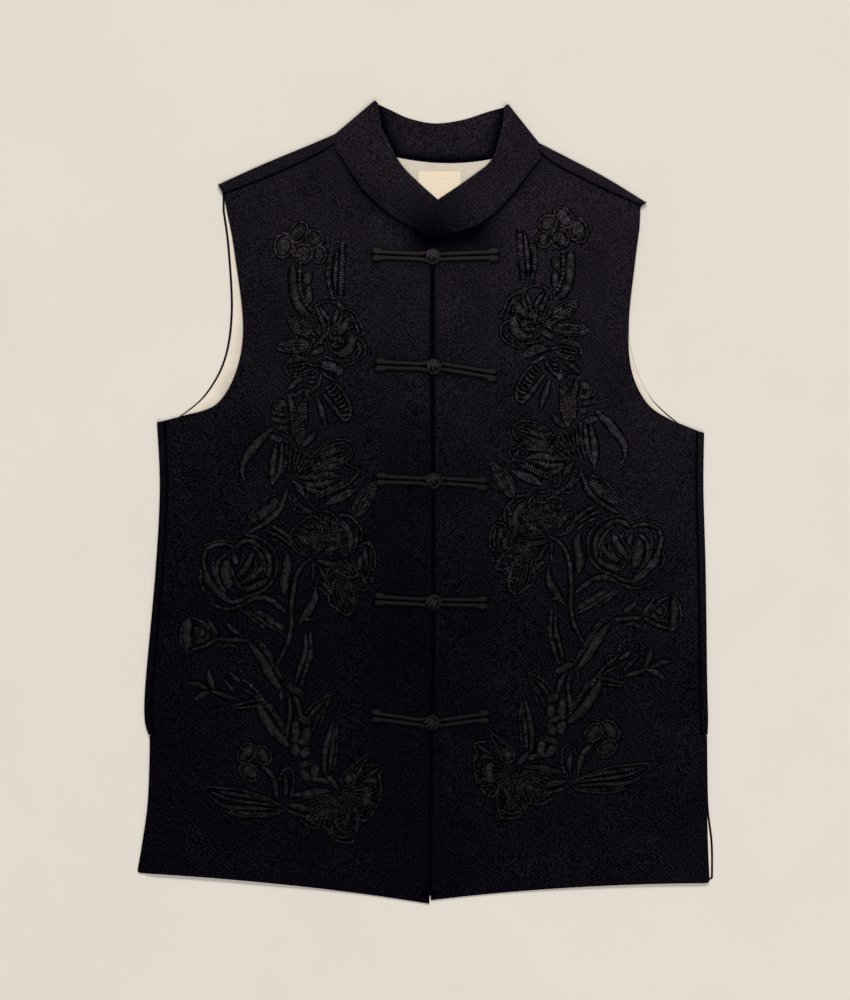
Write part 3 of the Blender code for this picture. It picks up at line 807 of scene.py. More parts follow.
@dataclass(frozen=True)
class LiningSateen(Finish):
    """Cream cotton sateen, woven with long floats and ironed flat.

    It is smooth, with a soft sheen and small wrinkles from use; away from its free edges it is painted in
    shade.
    """

    weave: float = 1.4
    wrinkle: float = 14.0
    weave_depth: float = 0.05
    wrinkle_depth: float = 1.2
    wrinkle_share: float = 0.30
    ground_share: float = 0.7

    def build(self) -> bpy.types.Material:
        """Make the material; the 0.3 mm weave is drawn at 1.4 mm, so that it shows."""
        material, shader, place = self.begin()
        weave = add_node(material, "ShaderNodeTexWave",
                         {"wave_type": "BANDS", "bands_direction": "DIAGONAL"}, {
                             "Vector": place, "Scale": wave_scale(self.weave), "Distortion": 1.0,
                             "Detail": 2.0}).outputs["Fac"]
        wrinkles = add_node(material, "ShaderNodeTexNoise", {}, {
            "Vector": place, "Scale": per_metre(self.wrinkle), "Detail": 4.0, "Roughness": 0.55,
            "Distortion": 0.4}).outputs["Fac"]
        folds = add_node(material, "ShaderNodeMapRange", {}, {
            "Value": wrinkles, "From Min": 0.3, "From Max": 0.7,
            "To Max": self.wrinkle_share}).outputs["Result"]
        # The painted shade darkens the lining's tone.
        tone = add_node(material, "ShaderNodeMath", {"operation": "MULTIPLY_ADD"},
                        {0: self.raised(material), 1: self.ground_share,
                         2: folds}).outputs["Value"]
        self.tones(material, shader, tone)
        self.relief(material, shader, (wrinkles, 0.8, self.wrinkle_depth),
                    (weave, 0.5, self.weave_depth))
        return material


@dataclass(frozen=True)
class LabelTape(Finish):
    """Cream label tape, woven with a fine crosswise rib and left bare."""

    rib: float = 1.2
    rib_depth: float = 0.08

    def build(self) -> bpy.types.Material:
        """Make the material; the 0.4 mm rib is drawn at 1.2 mm, so that it shows."""
        material, shader, place = self.begin()
        ribs = add_node(material, "ShaderNodeTexWave",
                        {"wave_type": "BANDS", "bands_direction": "Y"}, {
                            "Vector": place, "Scale": wave_scale(self.rib), "Distortion": 0.5,
                            "Detail": 2.0}).outputs["Fac"]
        self.tones(material, shader, ribs)
        self.relief(material, shader, (ribs, 0.6, self.rib_depth))
        return material


@dataclass(frozen=True)
class Limewash(Finish):
    """Pale limewashed board under the garment, flat and matt with faint clouds."""

    cloud: float = 160.0

    def build(self) -> bpy.types.Material:
        """Make the material."""
        material, shader, place = self.begin()
        clouds = add_node(material, "ShaderNodeTexNoise", {}, {
            "Vector": place, "Scale": per_metre(self.cloud), "Detail": 5.0,
            "Roughness": 0.6}).outputs["Fac"]
        self.tones(material, shader, clouds)
        return material


WOOL = WoolCrepe("black_wool_crepe", ("#020106", "#322D35"), roughness=0.9, specular=0.006,
                 sheen=0.006, sheen_roughness=0.5, sheen_tint="#B9ADCB")
THREAD = Thread("black_rayon_thread", ("#010002", "#534B55"), roughness=0.42, specular=0.05)
ROULEAU = Rouleau("black_bias_rouleau", ("#010001", "#2A2629"), roughness=0.45, specular=0.03)
# A lighter copy of the rouleau for the knot balls: a painted highlight.
HIGHLIT_ROULEAU = Rouleau("black_bias_rouleau_painted_highlight", ("#010001", "#3C373E"), roughness=0.45, specular=0.03)
SATEEN = LiningSateen("cream_lining_sateen", ("#AFA697", "#EADFCE"), roughness=0.5, specular=0.4,
                      sheen=0.1)
LABEL = LabelTape("cream_label_tape", ("#DACCB2", "#F2E3C8"), roughness=0.6, specular=0.3)
BOARD = Limewash("pale_limewashed_board", ("#DCD6CB", "#E6E0D6"), roughness=0.95, specular=0.05)


# ---------------------------------------------------------------- sheets of cloth

def dress(piece: bpy.types.Object, slot: str, *nodes: str) -> bpy.types.Object:
    """Ride a piece on the garment, hide the nodes that it stands for, and log it with them, or with its
    slot.
    """
    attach(piece, "root")
    if nodes:
        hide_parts(*nodes)
    LOG.info("%s: %d faces, for %s", piece.name, len(piece.data.polygons), ", ".join(nodes) or slot)
    return piece


@dataclass(frozen=True)
class Front:
    """One front panel, from its armhole and side seam to the centre front and neck seam.

    The widths say how far each line of painted shade reaches from its seam, edge or frog.
    """

    name: str
    side: dict[Group, tuple[Station, ...]]
    towards: float
    area: float
    shaded_rows: int
    centre_dark: float
    flat: tuple[float, float] = (0.262, 0.670)
    turned_edge: float = 1.7
    seam_edge: float = 1.5
    neck_edge: float = 1.1
    centre_edge: float = 1.75
    middle_columns: int = 38
    overhang_from: float = -332.0
    droop: float = 2.4
    droop_reach: float = 13.0
    stitch_rise: float = 0.22
    stitch_inset: float = 2.4
    stitch_width: float = 0.7
    neck_line: float = 1.7
    centre_line: float = 2.0
    seam_line: float = 1.4
    neck_shade: float = 0.35
    neck_shade_width: float = 6.0
    collar_shade: float = 20.0
    centre_dark_width: float = 75.0
    centre_dark_top: float = 120.0
    centre_dark_fade: float = 90.0
    frog_shade: float = 0.85
    frog_shade_width: float = 4.4
    knot_shade_drop: float = 4.0
    knot_shade_width: float = 6.0

    def plan(self, rows: Rows) -> np.ndarray:
        """Lay the grid in plan."""
        lines = []
        for index, group in enumerate(rows.groups):
            outer = rows.front[index].copy()
            inner = rows.inner[index].copy()
            if group in (Group.SIDE, Group.SHOULDER):
                outer -= (rows.front[index] - rows.flat[index]) * SEWN_LAP / 4.0
            if group is not Group.SHOULDER:
                centre = np.interp(inner[1], CENTRE_HEIGHTS, CENTRE_ACROSS)
                inner[0] = centre - self.towards * CENTRE_SLIT / 2.0
            share = column_shares(float(np.linalg.norm(inner - outer)), self.middle_columns)
            line = outer + (inner - outer) * share[:, None]
            if group is Group.VENT:
                bow = HEM_BOW * (1.0 - rows.shares[index])
                line[:, 1] += bow * 4.0 * share * (1.0 - share)
            lines.append(line)
        return np.array(lines)

    def overhang(self, grid: np.ndarray, rows: Rows) -> np.ndarray:
        """How far each point lies outside the back, at the hem and at the vent."""
        below = np.maximum(0.0, self.overhang_from - grid[..., 1])
        vent = [index for index, group in enumerate(rows.groups) if group is Group.VENT]
        edge = np.interp(grid[..., 1], rows.back[vent, 1], rows.back[vent, 0])
        aside = np.maximum(0.0, (edge - grid[..., 0]) * self.towards)
        return np.maximum(below, np.where(grid[..., 1] < VENT_TOP, aside, 0.0))

    def painted_shade(self, grid: np.ndarray, rows: Rows, neck: np.ndarray,
                centre: np.ndarray) -> np.ndarray:
        """Paint shade beside seams and edges, under the collar and round the frogs; below the chest the
        centre front is also made darker.

        Args:
            grid: the panel's points in plan.
            rows: the rows that they lie on.
            neck: the panel's neck edge.
            centre: its closing edge.

        Returns:
            How much shade is painted at each point, 0 to 1.
        """
        from_neck, from_centre = distance_to(grid, neck), distance_to(grid, centre)
        painted_shade = (self.neck_shade * beside(from_neck, self.neck_shade_width)
                   + beside(distance_to(grid, neck[:self.shaded_rows]), self.collar_shade))
        lines = [(from_neck, self.neck_line), (from_centre, self.centre_line)]
        lines += [(distance_to(grid, line), self.seam_line)
                  for line in rows.front_lines((Group.SIDE, Group.SHOULDER))]
        for away, width in lines:
            painted_shade = np.maximum(painted_shade, beside(away, width))
        for frog in FROGS:
            line = np.array((frog.loop_end, frog.knot, frog.cord_end))
            under = self.frog_shade * beside(distance_to(grid, line), self.frog_shade_width)
            spot = np.array((frog.knot, frog.knot)) - (0.0, self.knot_shade_drop)
            below = beside(distance_to(grid, spot), self.knot_shade_width)
            painted_shade = np.maximum(painted_shade, np.maximum(under, below))
        # A band along the centre front below the chest is made darker.
        low = smoothstep((self.centre_dark_top - grid[..., 1]) / self.centre_dark_fade)
        channel = beside(from_centre, self.centre_dark_width)
        return np.clip(painted_shade, self.centre_dark * low * channel, 1.0)

    def build(self, wool: bpy.types.Material) -> bpy.types.Object:
        """Make the panel's shell."""
        rows = side_rows(self.side)
        grid = self.plan(rows)
        top = cloth_top(grid[..., 0], grid[..., 1])
        top -= self.droop * smoothstep(self.overhang(grid, rows) / self.droop_reach)
        is_neck = [group is Group.SHOULDER for group in rows.groups]
        neck = split_line(grid[:, -1], is_neck)[0]
        centre = split_line(grid[:, -1], [not flag for flag in is_neck])[0]
        centre = np.vstack((centre, neck[:1]))
        turned = rows.front_lines((Group.VENT, Group.ARMHOLE, Group.LINK)) + [grid[0]]
        edges = [(line, self.turned_edge) for line in turned]
        edges += [(line, self.seam_edge) for line in rows.front_lines((Group.SIDE, Group.SHOULDER))]
        edges += [(centre, self.centre_edge), (neck, self.neck_edge)]
        fall = np.zeros_like(top)
        for line, radius in edges:
            fall = np.maximum(fall, rounding(distance_to(grid, line), radius))
        stitched = self.stitch_rise * beside(distance_to(grid, neck) - self.stitch_inset,
                                             self.stitch_width)
        painted_shade = self.painted_shade(grid, rows, neck, centre)
        outer = np.dstack((grid, top - fall + stitched, painted_shade))
        inner = np.dstack((grid, top - FRONT_WALL, painted_shade))
        points, faces = closed_sheet(outer, inner, flip=self.towards < 0)
        piece = new_piece(f"{self.name}_cloth", points, faces, wool)
        return dress(piece, "wool", self.name)


@dataclass(frozen=True)
class Back:
    """The back panel: flat underneath, rolled over to the side and shoulder seams."""

    flat: tuple[float, float] = (0.530, 0.690)
    area: float = 0.288
    strip: tuple[float, ...] = (0.0, 0.12, 0.35, 0.7, 1.1, 1.6, 2.2, 3.0, 3.6)
    strip_span: float = 3.8
    roll_steps: int = 10
    middle_columns: int = 30
    top_edge: float = 1.1
    low_edge: float = 0.45
    seam_edge: float = 1.4
    seam_line: float = 1.1

    def edge_columns(self, rows: Rows) -> tuple[np.ndarray, np.ndarray]:
        """Points of a sewn edge, from its seam over the roll to where it lies flat.

        Args:
            rows: one side of the garment.

        Returns:
            The outer and the inner face; rows that aren't sewn repeat their flat point.
        """
        outer_rows, inner_rows = [], []
        for back, front, flat, sewn in zip(rows.back, rows.front, rows.flat, rows.sewn()):
            if not sewn:
                blank = np.tile((*flat, 0.0, 0.0), (len(self.strip) + self.roll_steps, 1))
                outer_rows.append(blank)
                inner_rows.append(blank)
                continue
            across = (front - back) / np.linalg.norm(front - back)
            length = float(np.linalg.norm(front - back)) - ROLL_RADIUS
            outer, inner = [], []
            for reach in np.array(self.strip) * length / self.strip_span:
                place = front - across * reach
                fall = float(rounding(np.array(reach), self.seam_edge))
                # Painted shade along the seam.
                painted_shade = float(beside(np.array(reach), self.seam_line))
                outer.append((*place, FRONT_TOP - fall, painted_shade))
                inner.append((*place, FRONT_TOP - BACK_WALL, painted_shade))
            centre = back + across * ROLL_RADIUS
            for step in range(self.roll_steps):
                angle = math.pi * (1.0 - step / self.roll_steps)
                for radius, line in ((ROLL_RADIUS, outer), (ROLL_RADIUS - BACK_WALL, inner)):
                    place = centre - across * radius * math.sin(angle)
                    line.append((*place, ROLL_RADIUS - radius * math.cos(angle), 0.0))
            outer_rows.append(outer)
            inner_rows.append(inner)
        return np.array(outer_rows), np.array(inner_rows)

    def build(self, wool: bpy.types.Material) -> bpy.types.Object:
        """Make the back's shell."""
        right, left = side_rows(RIGHT_SIDE), side_rows(LEFT_SIDE)
        flat = flat_grid(right, left, 0.0, self.middle_columns)
        free = [group in (Group.VENT, Group.ARMHOLE, Group.LINK) for group in right.groups]
        away = edge_distance(flat, split_line(flat[:, 0], free) + split_line(flat[:, -1], free))
        plain = np.zeros_like(away)
        low = np.dstack((flat, rounding(away, self.low_edge), plain))
        high = np.dstack((flat, BACK_WALL - rounding(away, self.top_edge), plain))
        right_outer, right_inner = self.edge_columns(right)
        left_outer, left_inner = self.edge_columns(left)
        outer = np.concatenate((right_outer, low, left_outer[:, ::-1]), axis=1)
        inner = np.concatenate((right_inner, high, left_inner[:, ::-1]), axis=1)
        present = np.ones(outer.shape[:2], dtype=bool)
        edge = len(self.strip) + self.roll_steps
        loose = ~right.sewn()
        present[loose, :edge] = False
        present[loose, -edge:] = False
        points, faces = closed_sheet(outer, inner, present, flip=True)
        piece = new_piece("back_cloth", points, faces, wool)
        return dress(piece, "wool", "back")


def flat_grid(right: Rows, left: Rows, inset: float, middle: int) -> np.ndarray:
    """Lay the flat part of the back, or its lining, in plan.

    Args:
        right: rows of the wearer's right side.
        left: rows of the other side.
        inset: how far the free edges lie inside the back's; sewn edges lie as far in as the
            lining does there, unless it is 0.
        middle: columns between the close-set ones at both edges.

    Returns:
        The grid's points, rows by columns.
    """
    lines = []
    for index, sewn in enumerate(right.sewn()):
        start, end = right.flat[index].copy(), left.flat[index].copy()
        if inset:
            reach = LINING_INSET_AT_ROLL - ROLL_RADIUS if sewn else inset
            across = (end - start) / np.linalg.norm(end - start)
            close = reach if sewn else np.interp(end[1], LEFT_INSET_HEIGHTS, LEFT_INSETS)
            start += across * reach
            end -= across * close
        share = column_shares(float(np.linalg.norm(end - start)), middle)
        line = start + (end - start) * share[:, None]
        bow = 0.0
        if right.groups[index] is Group.VENT:
            bow = BACK_HEM_BOW * (1.0 - right.shares[index])
        if right.groups[index] is Group.SHOULDER:
            bow = -NECK_DROP * right.shares[index]
        line[:, 1] += bow * 4.0 * share * (1.0 - share)
        lines.append(line)
    return np.array(lines)


def edge_distance(grid: np.ndarray, lines: Sequence[np.ndarray]) -> np.ndarray:
    """Distance in plan from each point of a grid to its hem or the nearest of the lines."""
    return np.minimum.reduce([distance_to(grid, line) for line in (grid[0], *lines)])


@dataclass(frozen=True)
class Lining:
    """The back lining, which shows in the armholes, the vents and the neck.

    Small waves cover it; it is clipped to what fits between the layers. It is painted in shade away
    from its free edges, where the fronts lie over it, and less near the neck.
    """

    flat: tuple[float, float] = (0.500, 0.660)
    area: float = 0.276
    middle_columns: int = 34
    edge: float = 0.6
    shade_reach: float = 15.0
    shade: float = 0.85
    neck_light: float = 0.25
    neck_from: float = 240.0
    neck_reach: float = 15.0
    wave: float = 0.10
    wave_across: float = 9.0
    wave_up: float = 14.0
    wave_bend: float = 21.0
    wave_margin: float = 6.0
    lowest: float = -0.3
    highest: float = 0.4

    def build(self, sateen: bpy.types.Material) -> bpy.types.Object:
        """Make the lining's shell."""
        right, left = side_rows(RIGHT_SIDE), side_rows(LEFT_SIDE)
        grid = flat_grid(right, left, LINING_INSET, self.middle_columns)
        hem = len(HEM_ROWS)
        grid[:hem, :, 1] += LINING_INSET * (1.0 - np.arange(hem) / hem)[:, None]
        x, y = grid[..., 0], grid[..., 1]
        wave = (self.wave * np.sin(x / self.wave_across + 2.0 * np.sin(y / self.wave_bend))
                * np.sin(y / self.wave_up))
        for fold in LINING_CREASES:
            wave = wave + fold.rise(x, y)
        sides = (grid[:, 0], grid[:, -1])
        away = edge_distance(grid, sides)
        wave *= smoothstep(away / self.wave_margin)
        # Painted shade: darker away from the free edges, where the fronts lie over it, lighter near the
        # neck.
        edge_shade = smoothstep(np.minimum(*(distance_to(grid, side) for side in sides)) / self.shade_reach)
        edge_shade *= self.shade - self.neck_light * smoothstep((y - self.neck_from) / self.neck_reach)
        level = LINING_TOP + np.clip(wave, self.lowest, self.highest) - rounding(away, self.edge)
        outer = np.dstack((grid, level, edge_shade))
        inner = np.dstack((grid, np.full_like(x, LINING_TOP - LINING_WALL), edge_shade))
        points, faces = closed_sheet(outer, inner)
        piece = new_piece("back_lining_cloth", points, faces, sateen)
        return dress(piece, "lining", "back_lining")


@dataclass(frozen=True)
class NeckLabel:
    """The woven label inside the neck, left bare, with its ends folded under."""

    centre: tuple[float, float] = (12.0, 277.0)
    width: float = 38.0
    height: float = 28.0
    columns: int = 24
    rows: int = 16
    edge: float = 0.6
    fold: float = 5.0
    fold_edge: float = 0.8
    fold_rise: float = 0.25
    wave: float = 0.12
    wave_length: float = 7.0

    def build(self, tape: bpy.types.Material) -> bpy.types.Object:
        """Make the label's shell."""
        half_width, half_height = self.width / 2.0, self.height / 2.0
        across = column_shares(self.width, self.columns) * self.width - half_width
        up = column_shares(self.height, self.rows) * self.height - half_height
        x, y = np.meshgrid(across, up)
        away = np.minimum(half_width - np.abs(x), half_height - np.abs(y))
        level = LINING_TOP + LAYER_GAP + LABEL_WALL
        folded = self.fold_rise * smoothstep((np.abs(x) - half_width + self.fold) / self.fold_edge)
        top = level + folded + self.wave * np.sin(x / self.wave_length) - rounding(away, self.edge)
        outer = np.dstack((x + self.centre[0], y + self.centre[1], top))
        inner = np.dstack((outer[..., :2], np.full_like(x, level - LABEL_WALL)))
        points, faces = closed_sheet(outer, inner)
        piece = new_piece("neck_label_tape", points, faces, tape)
        return dress(piece, "label", "neck_label")


@dataclass(frozen=True)
class ShadedUnderlap:
    """The narrow strip sewn behind the closing edges, painted in full shade, so that it shows only as the
    slit's shadow.
    """

    width: float = 15.0
    low: float = -346.0
    high: float = 236.0
    level: float = 2.94
    wall: float = 0.4
    rows: int = 60
    columns: int = 5

    def build(self, wool: bpy.types.Material) -> bpy.types.Object:
        """Make the strip's shell."""
        y, share = np.meshgrid(np.linspace(self.low, self.high, self.rows),
                               np.linspace(-0.5, 0.5, self.columns), indexing="ij")
        x = np.interp(y, CENTRE_HEIGHTS, CENTRE_ACROSS) + share * self.width
        # Painted in full shade.
        painted_shade = np.ones_like(x)
        outer = np.dstack((x, y, np.full_like(x, self.level + self.wall), painted_shade))
        inner = np.dstack((x, y, np.full_like(x, self.level), painted_shade))
        points, faces = closed_sheet(outer, inner)
        piece = new_piece("centre_underlap_painted_shade", points, faces, wool)
        return dress(piece, "wool")


@dataclass(frozen=True)
class BandLine:
    """One line across the collar band: its seam, its top edge and which way it faces."""

    seam: np.ndarray
    top: np.ndarray
    facing: np.ndarray
    crown: float


@dataclass(frozen=True)
class Collar:
    """The stand collar: one band, rolled at both sides of the neck.

    The lines say how far each line of painted shade reaches from its seam, end or fold.
    """

    right_top: tuple[tuple[float, float, float, float], ...] = (
        (10.7, 265.6, 6.8, 6.8), (-7.0, 281.4, 6.6, 7.3), (-22.5, 298.0, 6.3, 7.9),
        (-38.5, 327.5, 6.0, 8.5))
    left_top: tuple[tuple[float, float, float, float], ...] = (
        (10.5, 265.6, 6.8, 6.8), (41.5, 286.8, 6.6, 7.3), (58.4, 302.0, 6.3, 7.9),
        (67.3, 330.5, 6.0, 8.5))
    right_roll: tuple[float, float, float, float] = (-78.4, 324.7, -44.7, 353.2)
    left_roll: tuple[float, float, float, float] = (98.9, 316.6, 72.3, 349.9)
    back_line: tuple[tuple[float, float, float], ...] = (
        (0.15, -31.5, 345.0), (0.31, -14.5, 337.4), (0.50, 8.0, 333.0),
        (0.66, 32.5, 336.2), (0.82, 54.0, 343.0))
    crown: float = 1.0
    steps: int = 8
    roll_steps: int = 12
    join_steps: int = 7
    middle_columns: int = 14
    seam_edge: float = 1.1
    top_edge: float = 1.0
    end_lap: float = 4.6
    facing_down: float = -0.99
    tuck_reach: float = 1.4
    tuck_length: float = 2.1
    seam_line: float = 1.7
    ends_shade: float = 0.95
    ends_line: float = 30.0
    meeting_shade: float = 0.3
    meeting_line: float = 1.2
    rim_light: float = 0.5
    right_rim: float = 1.8
    left_rim: float = 1.6
    fold_line: float = 8.5
    low_shade: float = 1.1
    low_line: float = 6.5
    flat: tuple[float, float] = (0.400, 0.044)
    area: float = 0.0152

    def front_lines(self, side: dict[Group, tuple[Station, ...]],
                    tops: tuple[tuple[float, float, float, float], ...]) -> list[BandLine]:
        """Lines beside one front, from the centre front to the shoulder."""
        seams = smooth_line([station.inner for station in side[Group.SHOULDER]], self.steps)
        edges = smooth_line(tops, self.steps)
        facing = np.array((0.0, 0.0, 1.0))
        lines = []
        for index, (seam, edge) in enumerate(zip(seams, edges)):
            top = np.array((edge[0], edge[1], edge[3]))
            lap = self.end_lap * smoothstep(np.array(3.0 * index / len(edges) - 2.0))
            seam = seam + (seam - top[:2]) / np.linalg.norm(seam - top[:2]) * lap
            lines.append(BandLine(np.array((*seam, edge[2])), top, facing, self.crown))
        return lines

    def roll_lines(self, roll: tuple[float, float, float, float], inwards: float) -> list[BandLine]:
        """Lines round a rolled end, from its upper side to its lower one."""
        seam, top = np.array(roll[:2]), np.array(roll[2:])
        along = (top - seam) / np.linalg.norm(top - seam)
        across = np.array((along[1], -along[0])) * inwards
        ends = ((seam - along * self.end_lap, COLLAR_ROLL_RADIUS), (top, COLLAR_TOP_ROLL_RADIUS))
        lines = []
        for step in range(self.roll_steps + 1):
            angle = math.pi * step / self.roll_steps
            facing = np.array((*(-across * math.sin(angle)), math.cos(angle)))
            low, high = (np.array((*(end + across * radius * (1.0 - math.sin(angle))),
                                   radius * (1.0 + math.cos(angle)))) for end, radius in ends)
            lines.append(BandLine(low, high, facing, 0.0))
        return lines

    def back_lines(self) -> list[BandLine]:
        """Lines of the back stretch, which shows its inner face."""
        right, left = RIGHT_SIDE[Group.SHOULDER][-1], LEFT_SIDE[Group.SHOULDER][-1]
        facing = np.array((0.0, 0.0, -1.0))
        lines = []
        for along, x, y in self.back_line:
            seam = np.array(right.back) + (np.array(left.back) - np.array(right.back)) * along
            seam[1] += -NECK_DROP * 4.0 * along * (1.0 - along) - SEWN_LAP
            lines.append(BandLine(np.array((*seam, 0.0)), np.array((x, y, 0.0)), facing, 0.0))
        return lines

    def joined(self, lines: list[BandLine], steps: int) -> list[BandLine]:
        """Smoothly fill the stretches between lines."""
        seams = smooth_line([line.seam for line in lines], steps)
        tops = smooth_line([line.top for line in lines], steps)
        facings = smooth_line([line.facing for line in lines], steps)
        crowns = smooth_line([(line.crown, 0.0) for line in lines], steps)
        return [BandLine(seam, top, facing / np.linalg.norm(facing), float(crown[0]))
                for seam, top, facing, crown in zip(seams, tops, facings, crowns)]

    def painted_shade(self, outer: np.ndarray, inner: np.ndarray, right: list[BandLine],
                left: list[BandLine]) -> tuple[np.ndarray, np.ndarray]:
        """Paint shade along the seam, in the folds and where the ends meet, and a lighter highlight along
        the top rim.

        Args:
            outer: the band's outer face.
            inner: its inner face.
            right: the band's lines beside the right front.
            left: the same beside the left front.

        Returns:
            Both faces, each point with a fourth number.
        """
        # Painted shade near and along the ends' meeting, the seams, the folds and the back stretch's lower
        # edge; the top rim is painted lighter as a highlight.
        meeting = np.array([right[0].seam, right[0].top])
        near = beside(distance_to(outer, meeting[:1].repeat(2, axis=0)), self.ends_line)
        outside = np.maximum(self.ends_shade * near, self.meeting_shade
                             * beside(distance_to(outer, meeting), self.meeting_line))
        rim, inside = np.zeros(outer.shape[:2]), np.zeros(inner.shape[:2])
        for edge, roll, width in ((right, self.right_roll, self.right_rim),
                                  (left, self.left_roll, self.left_rim)):
            seam, top = (np.array([getattr(line, part) for line in edge]) for part in ("seam", "top"))
            outside = np.maximum(outside, beside(distance_to(outer, seam), self.seam_line))
            rim = np.maximum(rim, beside(distance_to(outer, top), width))
            fold = np.vstack((top[:, :2], roll[2:]))
            inside = np.maximum(inside, beside(distance_to(inner, fold), self.fold_line))
        outside -= self.rim_light * rim * (1.0 - near)
        low = beside(distance_to(inner, inner[:, 0]), self.low_line)
        inside = np.clip(inside, self.low_shade * low, 1.0)
        return np.dstack((outer, outside)), np.dstack((inner, inside))

    def build(self, wool: bpy.types.Material) -> bpy.types.Object:
        """Make the collar's shell."""
        right = self.front_lines(RIGHT_SIDE, self.right_top)
        left = self.front_lines(LEFT_SIDE, self.left_top)
        right_roll = self.roll_lines(self.right_roll, 1.0)
        left_roll = self.roll_lines(self.left_roll, -1.0)
        lines = right + self.joined([right[-1], right_roll[0]], self.join_steps)[1:-1] + right_roll
        back = self.joined([right_roll[-1], *self.back_lines(), left_roll[-1]], self.join_steps)
        lines += back[1:-1] + left_roll[::-1]
        lines += self.joined([left_roll[0], left[-1]], self.join_steps)[1:-1] + left[::-1]
        outer_rows, inner_rows = [], []
        for line in lines:
            length = float(np.linalg.norm(line.top - line.seam))
            share = column_shares(length, self.middle_columns)
            from_seam, from_top = share * length, (1.0 - share) * length
            place = line.seam + (line.top - line.seam) * share[:, None]
            place[:, 2] += line.crown * 4.0 * share * (1.0 - share)
            fall = np.maximum(rounding(from_seam, self.seam_edge), rounding(from_top, self.top_edge))
            rise = rounding(from_top, self.top_edge)
            outer_rows.append(place - line.facing * fall[:, None])
            inside = place - line.facing * (COLLAR_WALL - rise)[:, None]
            if line.facing[2] < self.facing_down:
                tuck = np.clip(1.0 - from_seam / self.tuck_reach, 0.0, 1.0)[:, None]
                inside += tuck * (line.seam - line.top) / length * self.tuck_length
                inside[:, 2] -= tuck[:, 0] * (COLLAR_WALL - LINING_TOP - LAYER_GAP)
            inner_rows.append(inside)
        outer, inner = self.painted_shade(np.array(outer_rows), np.array(inner_rows), right, left)
        points, faces = closed_sheet(outer, inner)
        piece = new_piece("stand_collar_cloth", points, faces, wool)
        return dress(piece, "wool", "stand_collar")


# ---------------------------------------------------------------- stitches and cords

class Bodies:
    """Closed bodies gathered into one mesh, with coordinates along and across each."""

    def __init__(self) -> None:
        """Start with nothing gathered."""
        self.points: list[np.ndarray] = []
        self.faces: list[list[int]] = []
        self.laid: list[tuple[float, float]] = []
        self.count = 0

    def add(self, rings: np.ndarray, along: np.ndarray, around: np.ndarray,
            closed: bool = False) -> None:
        """Add one body.

        Args:
            rings: rings of points, from one end to the other; a fourth number is as for new_piece.
            along: how far along the body each ring lies, in millimetres.
            around: where each point of a ring lies across the body, rings by points.
            closed: join the last ring to the first, instead of capping both.
        """
        count, corners = rings.shape[:2]
        number = self.count + np.arange(count * corners).reshape(count, corners)
        following = np.roll(number, -1, axis=1)
        spans = [(row, row + 1) for row in range(count - 1)]
        if closed:
            spans.append((count - 1, 0))
        for first, second in spans:
            quads = np.stack((number[first], following[first], following[second], number[second]),
                             axis=1)
            self.faces.extend(quads.tolist())
        if not closed:
            self.faces.append(number[0][::-1].tolist())
            self.faces.append(number[-1].tolist())
        if rings.shape[2] == 3:
            rings = np.dstack((rings, np.zeros((count, corners))))
        self.points.append(rings.reshape(-1, 4))
        laid = np.stack((np.repeat(along[:, None], corners, axis=1), around), axis=2) * MM
        self.laid.extend(map(tuple, laid.reshape(-1, 2).tolist()))
        self.count += count * corners

    def piece(self, name: str, material: bpy.types.Material) -> bpy.types.Object:
        """Make one object of all that was gathered."""
        piece = new_piece(name, np.concatenate(self.points), self.faces, material)
        layer = piece.data.uv_layers.new(name="stitch")
        corners = np.empty(len(piece.data.loops), dtype=np.int64)
        piece.data.loops.foreach_get("vertex_index", corners)
        layer.data.foreach_set("uv", np.array(self.laid)[corners].reshape(-1))
        return piece


def directions(line: np.ndarray) -> tuple[np.ndarray, np.ndarray]:
    """Unit vectors along a plan line and to its right."""
    along = np.gradient(line, axis=0)
    along /= np.maximum(np.linalg.norm(along, axis=1), 1e-9)[:, None]
    return along, np.column_stack((along[:, 1], -along[:, 0]))


def in_shade(angle: np.ndarray, most: float, fall: float) -> np.ndarray:
    """Painted shade round a raised body's section, darkest at its sides and none on its crown."""
    return np.clip(most - fall * np.sin(angle), 0.0, 1.0)


class Ply(Enum):
    """How a raised outline is worked."""

    BEADED = "beaded"
    TWISTED = "twisted"
    CHAIN = "chain"


# Of each ply: how far it repeats, its least thickness, how far a bead swells it, and how deep
# the groove along its crown is.
PLY_SHAPES = {
    Ply.BEADED: (2.2, 0.46, 0.62, 0.0),
    Ply.TWISTED: (2.8, 0.62, 0.48, 0.0),
    Ply.CHAIN: (3.8, 0.52, 0.62, 0.26),
}


class Tip(Enum):
    """How a satin pad ends."""

    LEAF = "leaf"
    BLUNT = "blunt"
    DROP = "drop"
    ROUND = "round"


BEADED, TWISTED, CHAIN = Ply.BEADED, Ply.TWISTED, Ply.CHAIN
BLUNT, DROP = Tip.BLUNT, Tip.DROP


@dataclass(frozen=True)
class Satin:
    """A pad of satin stitch along a line, its threads laid across it."""

    width: float
    line: Plan
    tip: Tip = Tip.LEAF
    lift: float = 0.0


@dataclass(frozen=True)
class Outline:
    """A raised outline or stem, couched along a line; shade dulls it."""

    ply: Ply
    line: Plan
    radius: float = 1.2
    shade: float = 0.0


@dataclass(frozen=True)
class Comb:
    """A row of short slanted stitches along a line, on its left (+) or its right (-)."""

    length: float
    line: Plan
    side: float = 1.0
    slant: float = 50.0


@dataclass(frozen=True)
class Petal:
    """A rounded petal: an outline that leaves its base open, and swells towards its tip."""

    base: tuple[float, float]
    tip: tuple[float, float]
    width: float
    ply: Ply = Ply.BEADED
    frill: int = 0


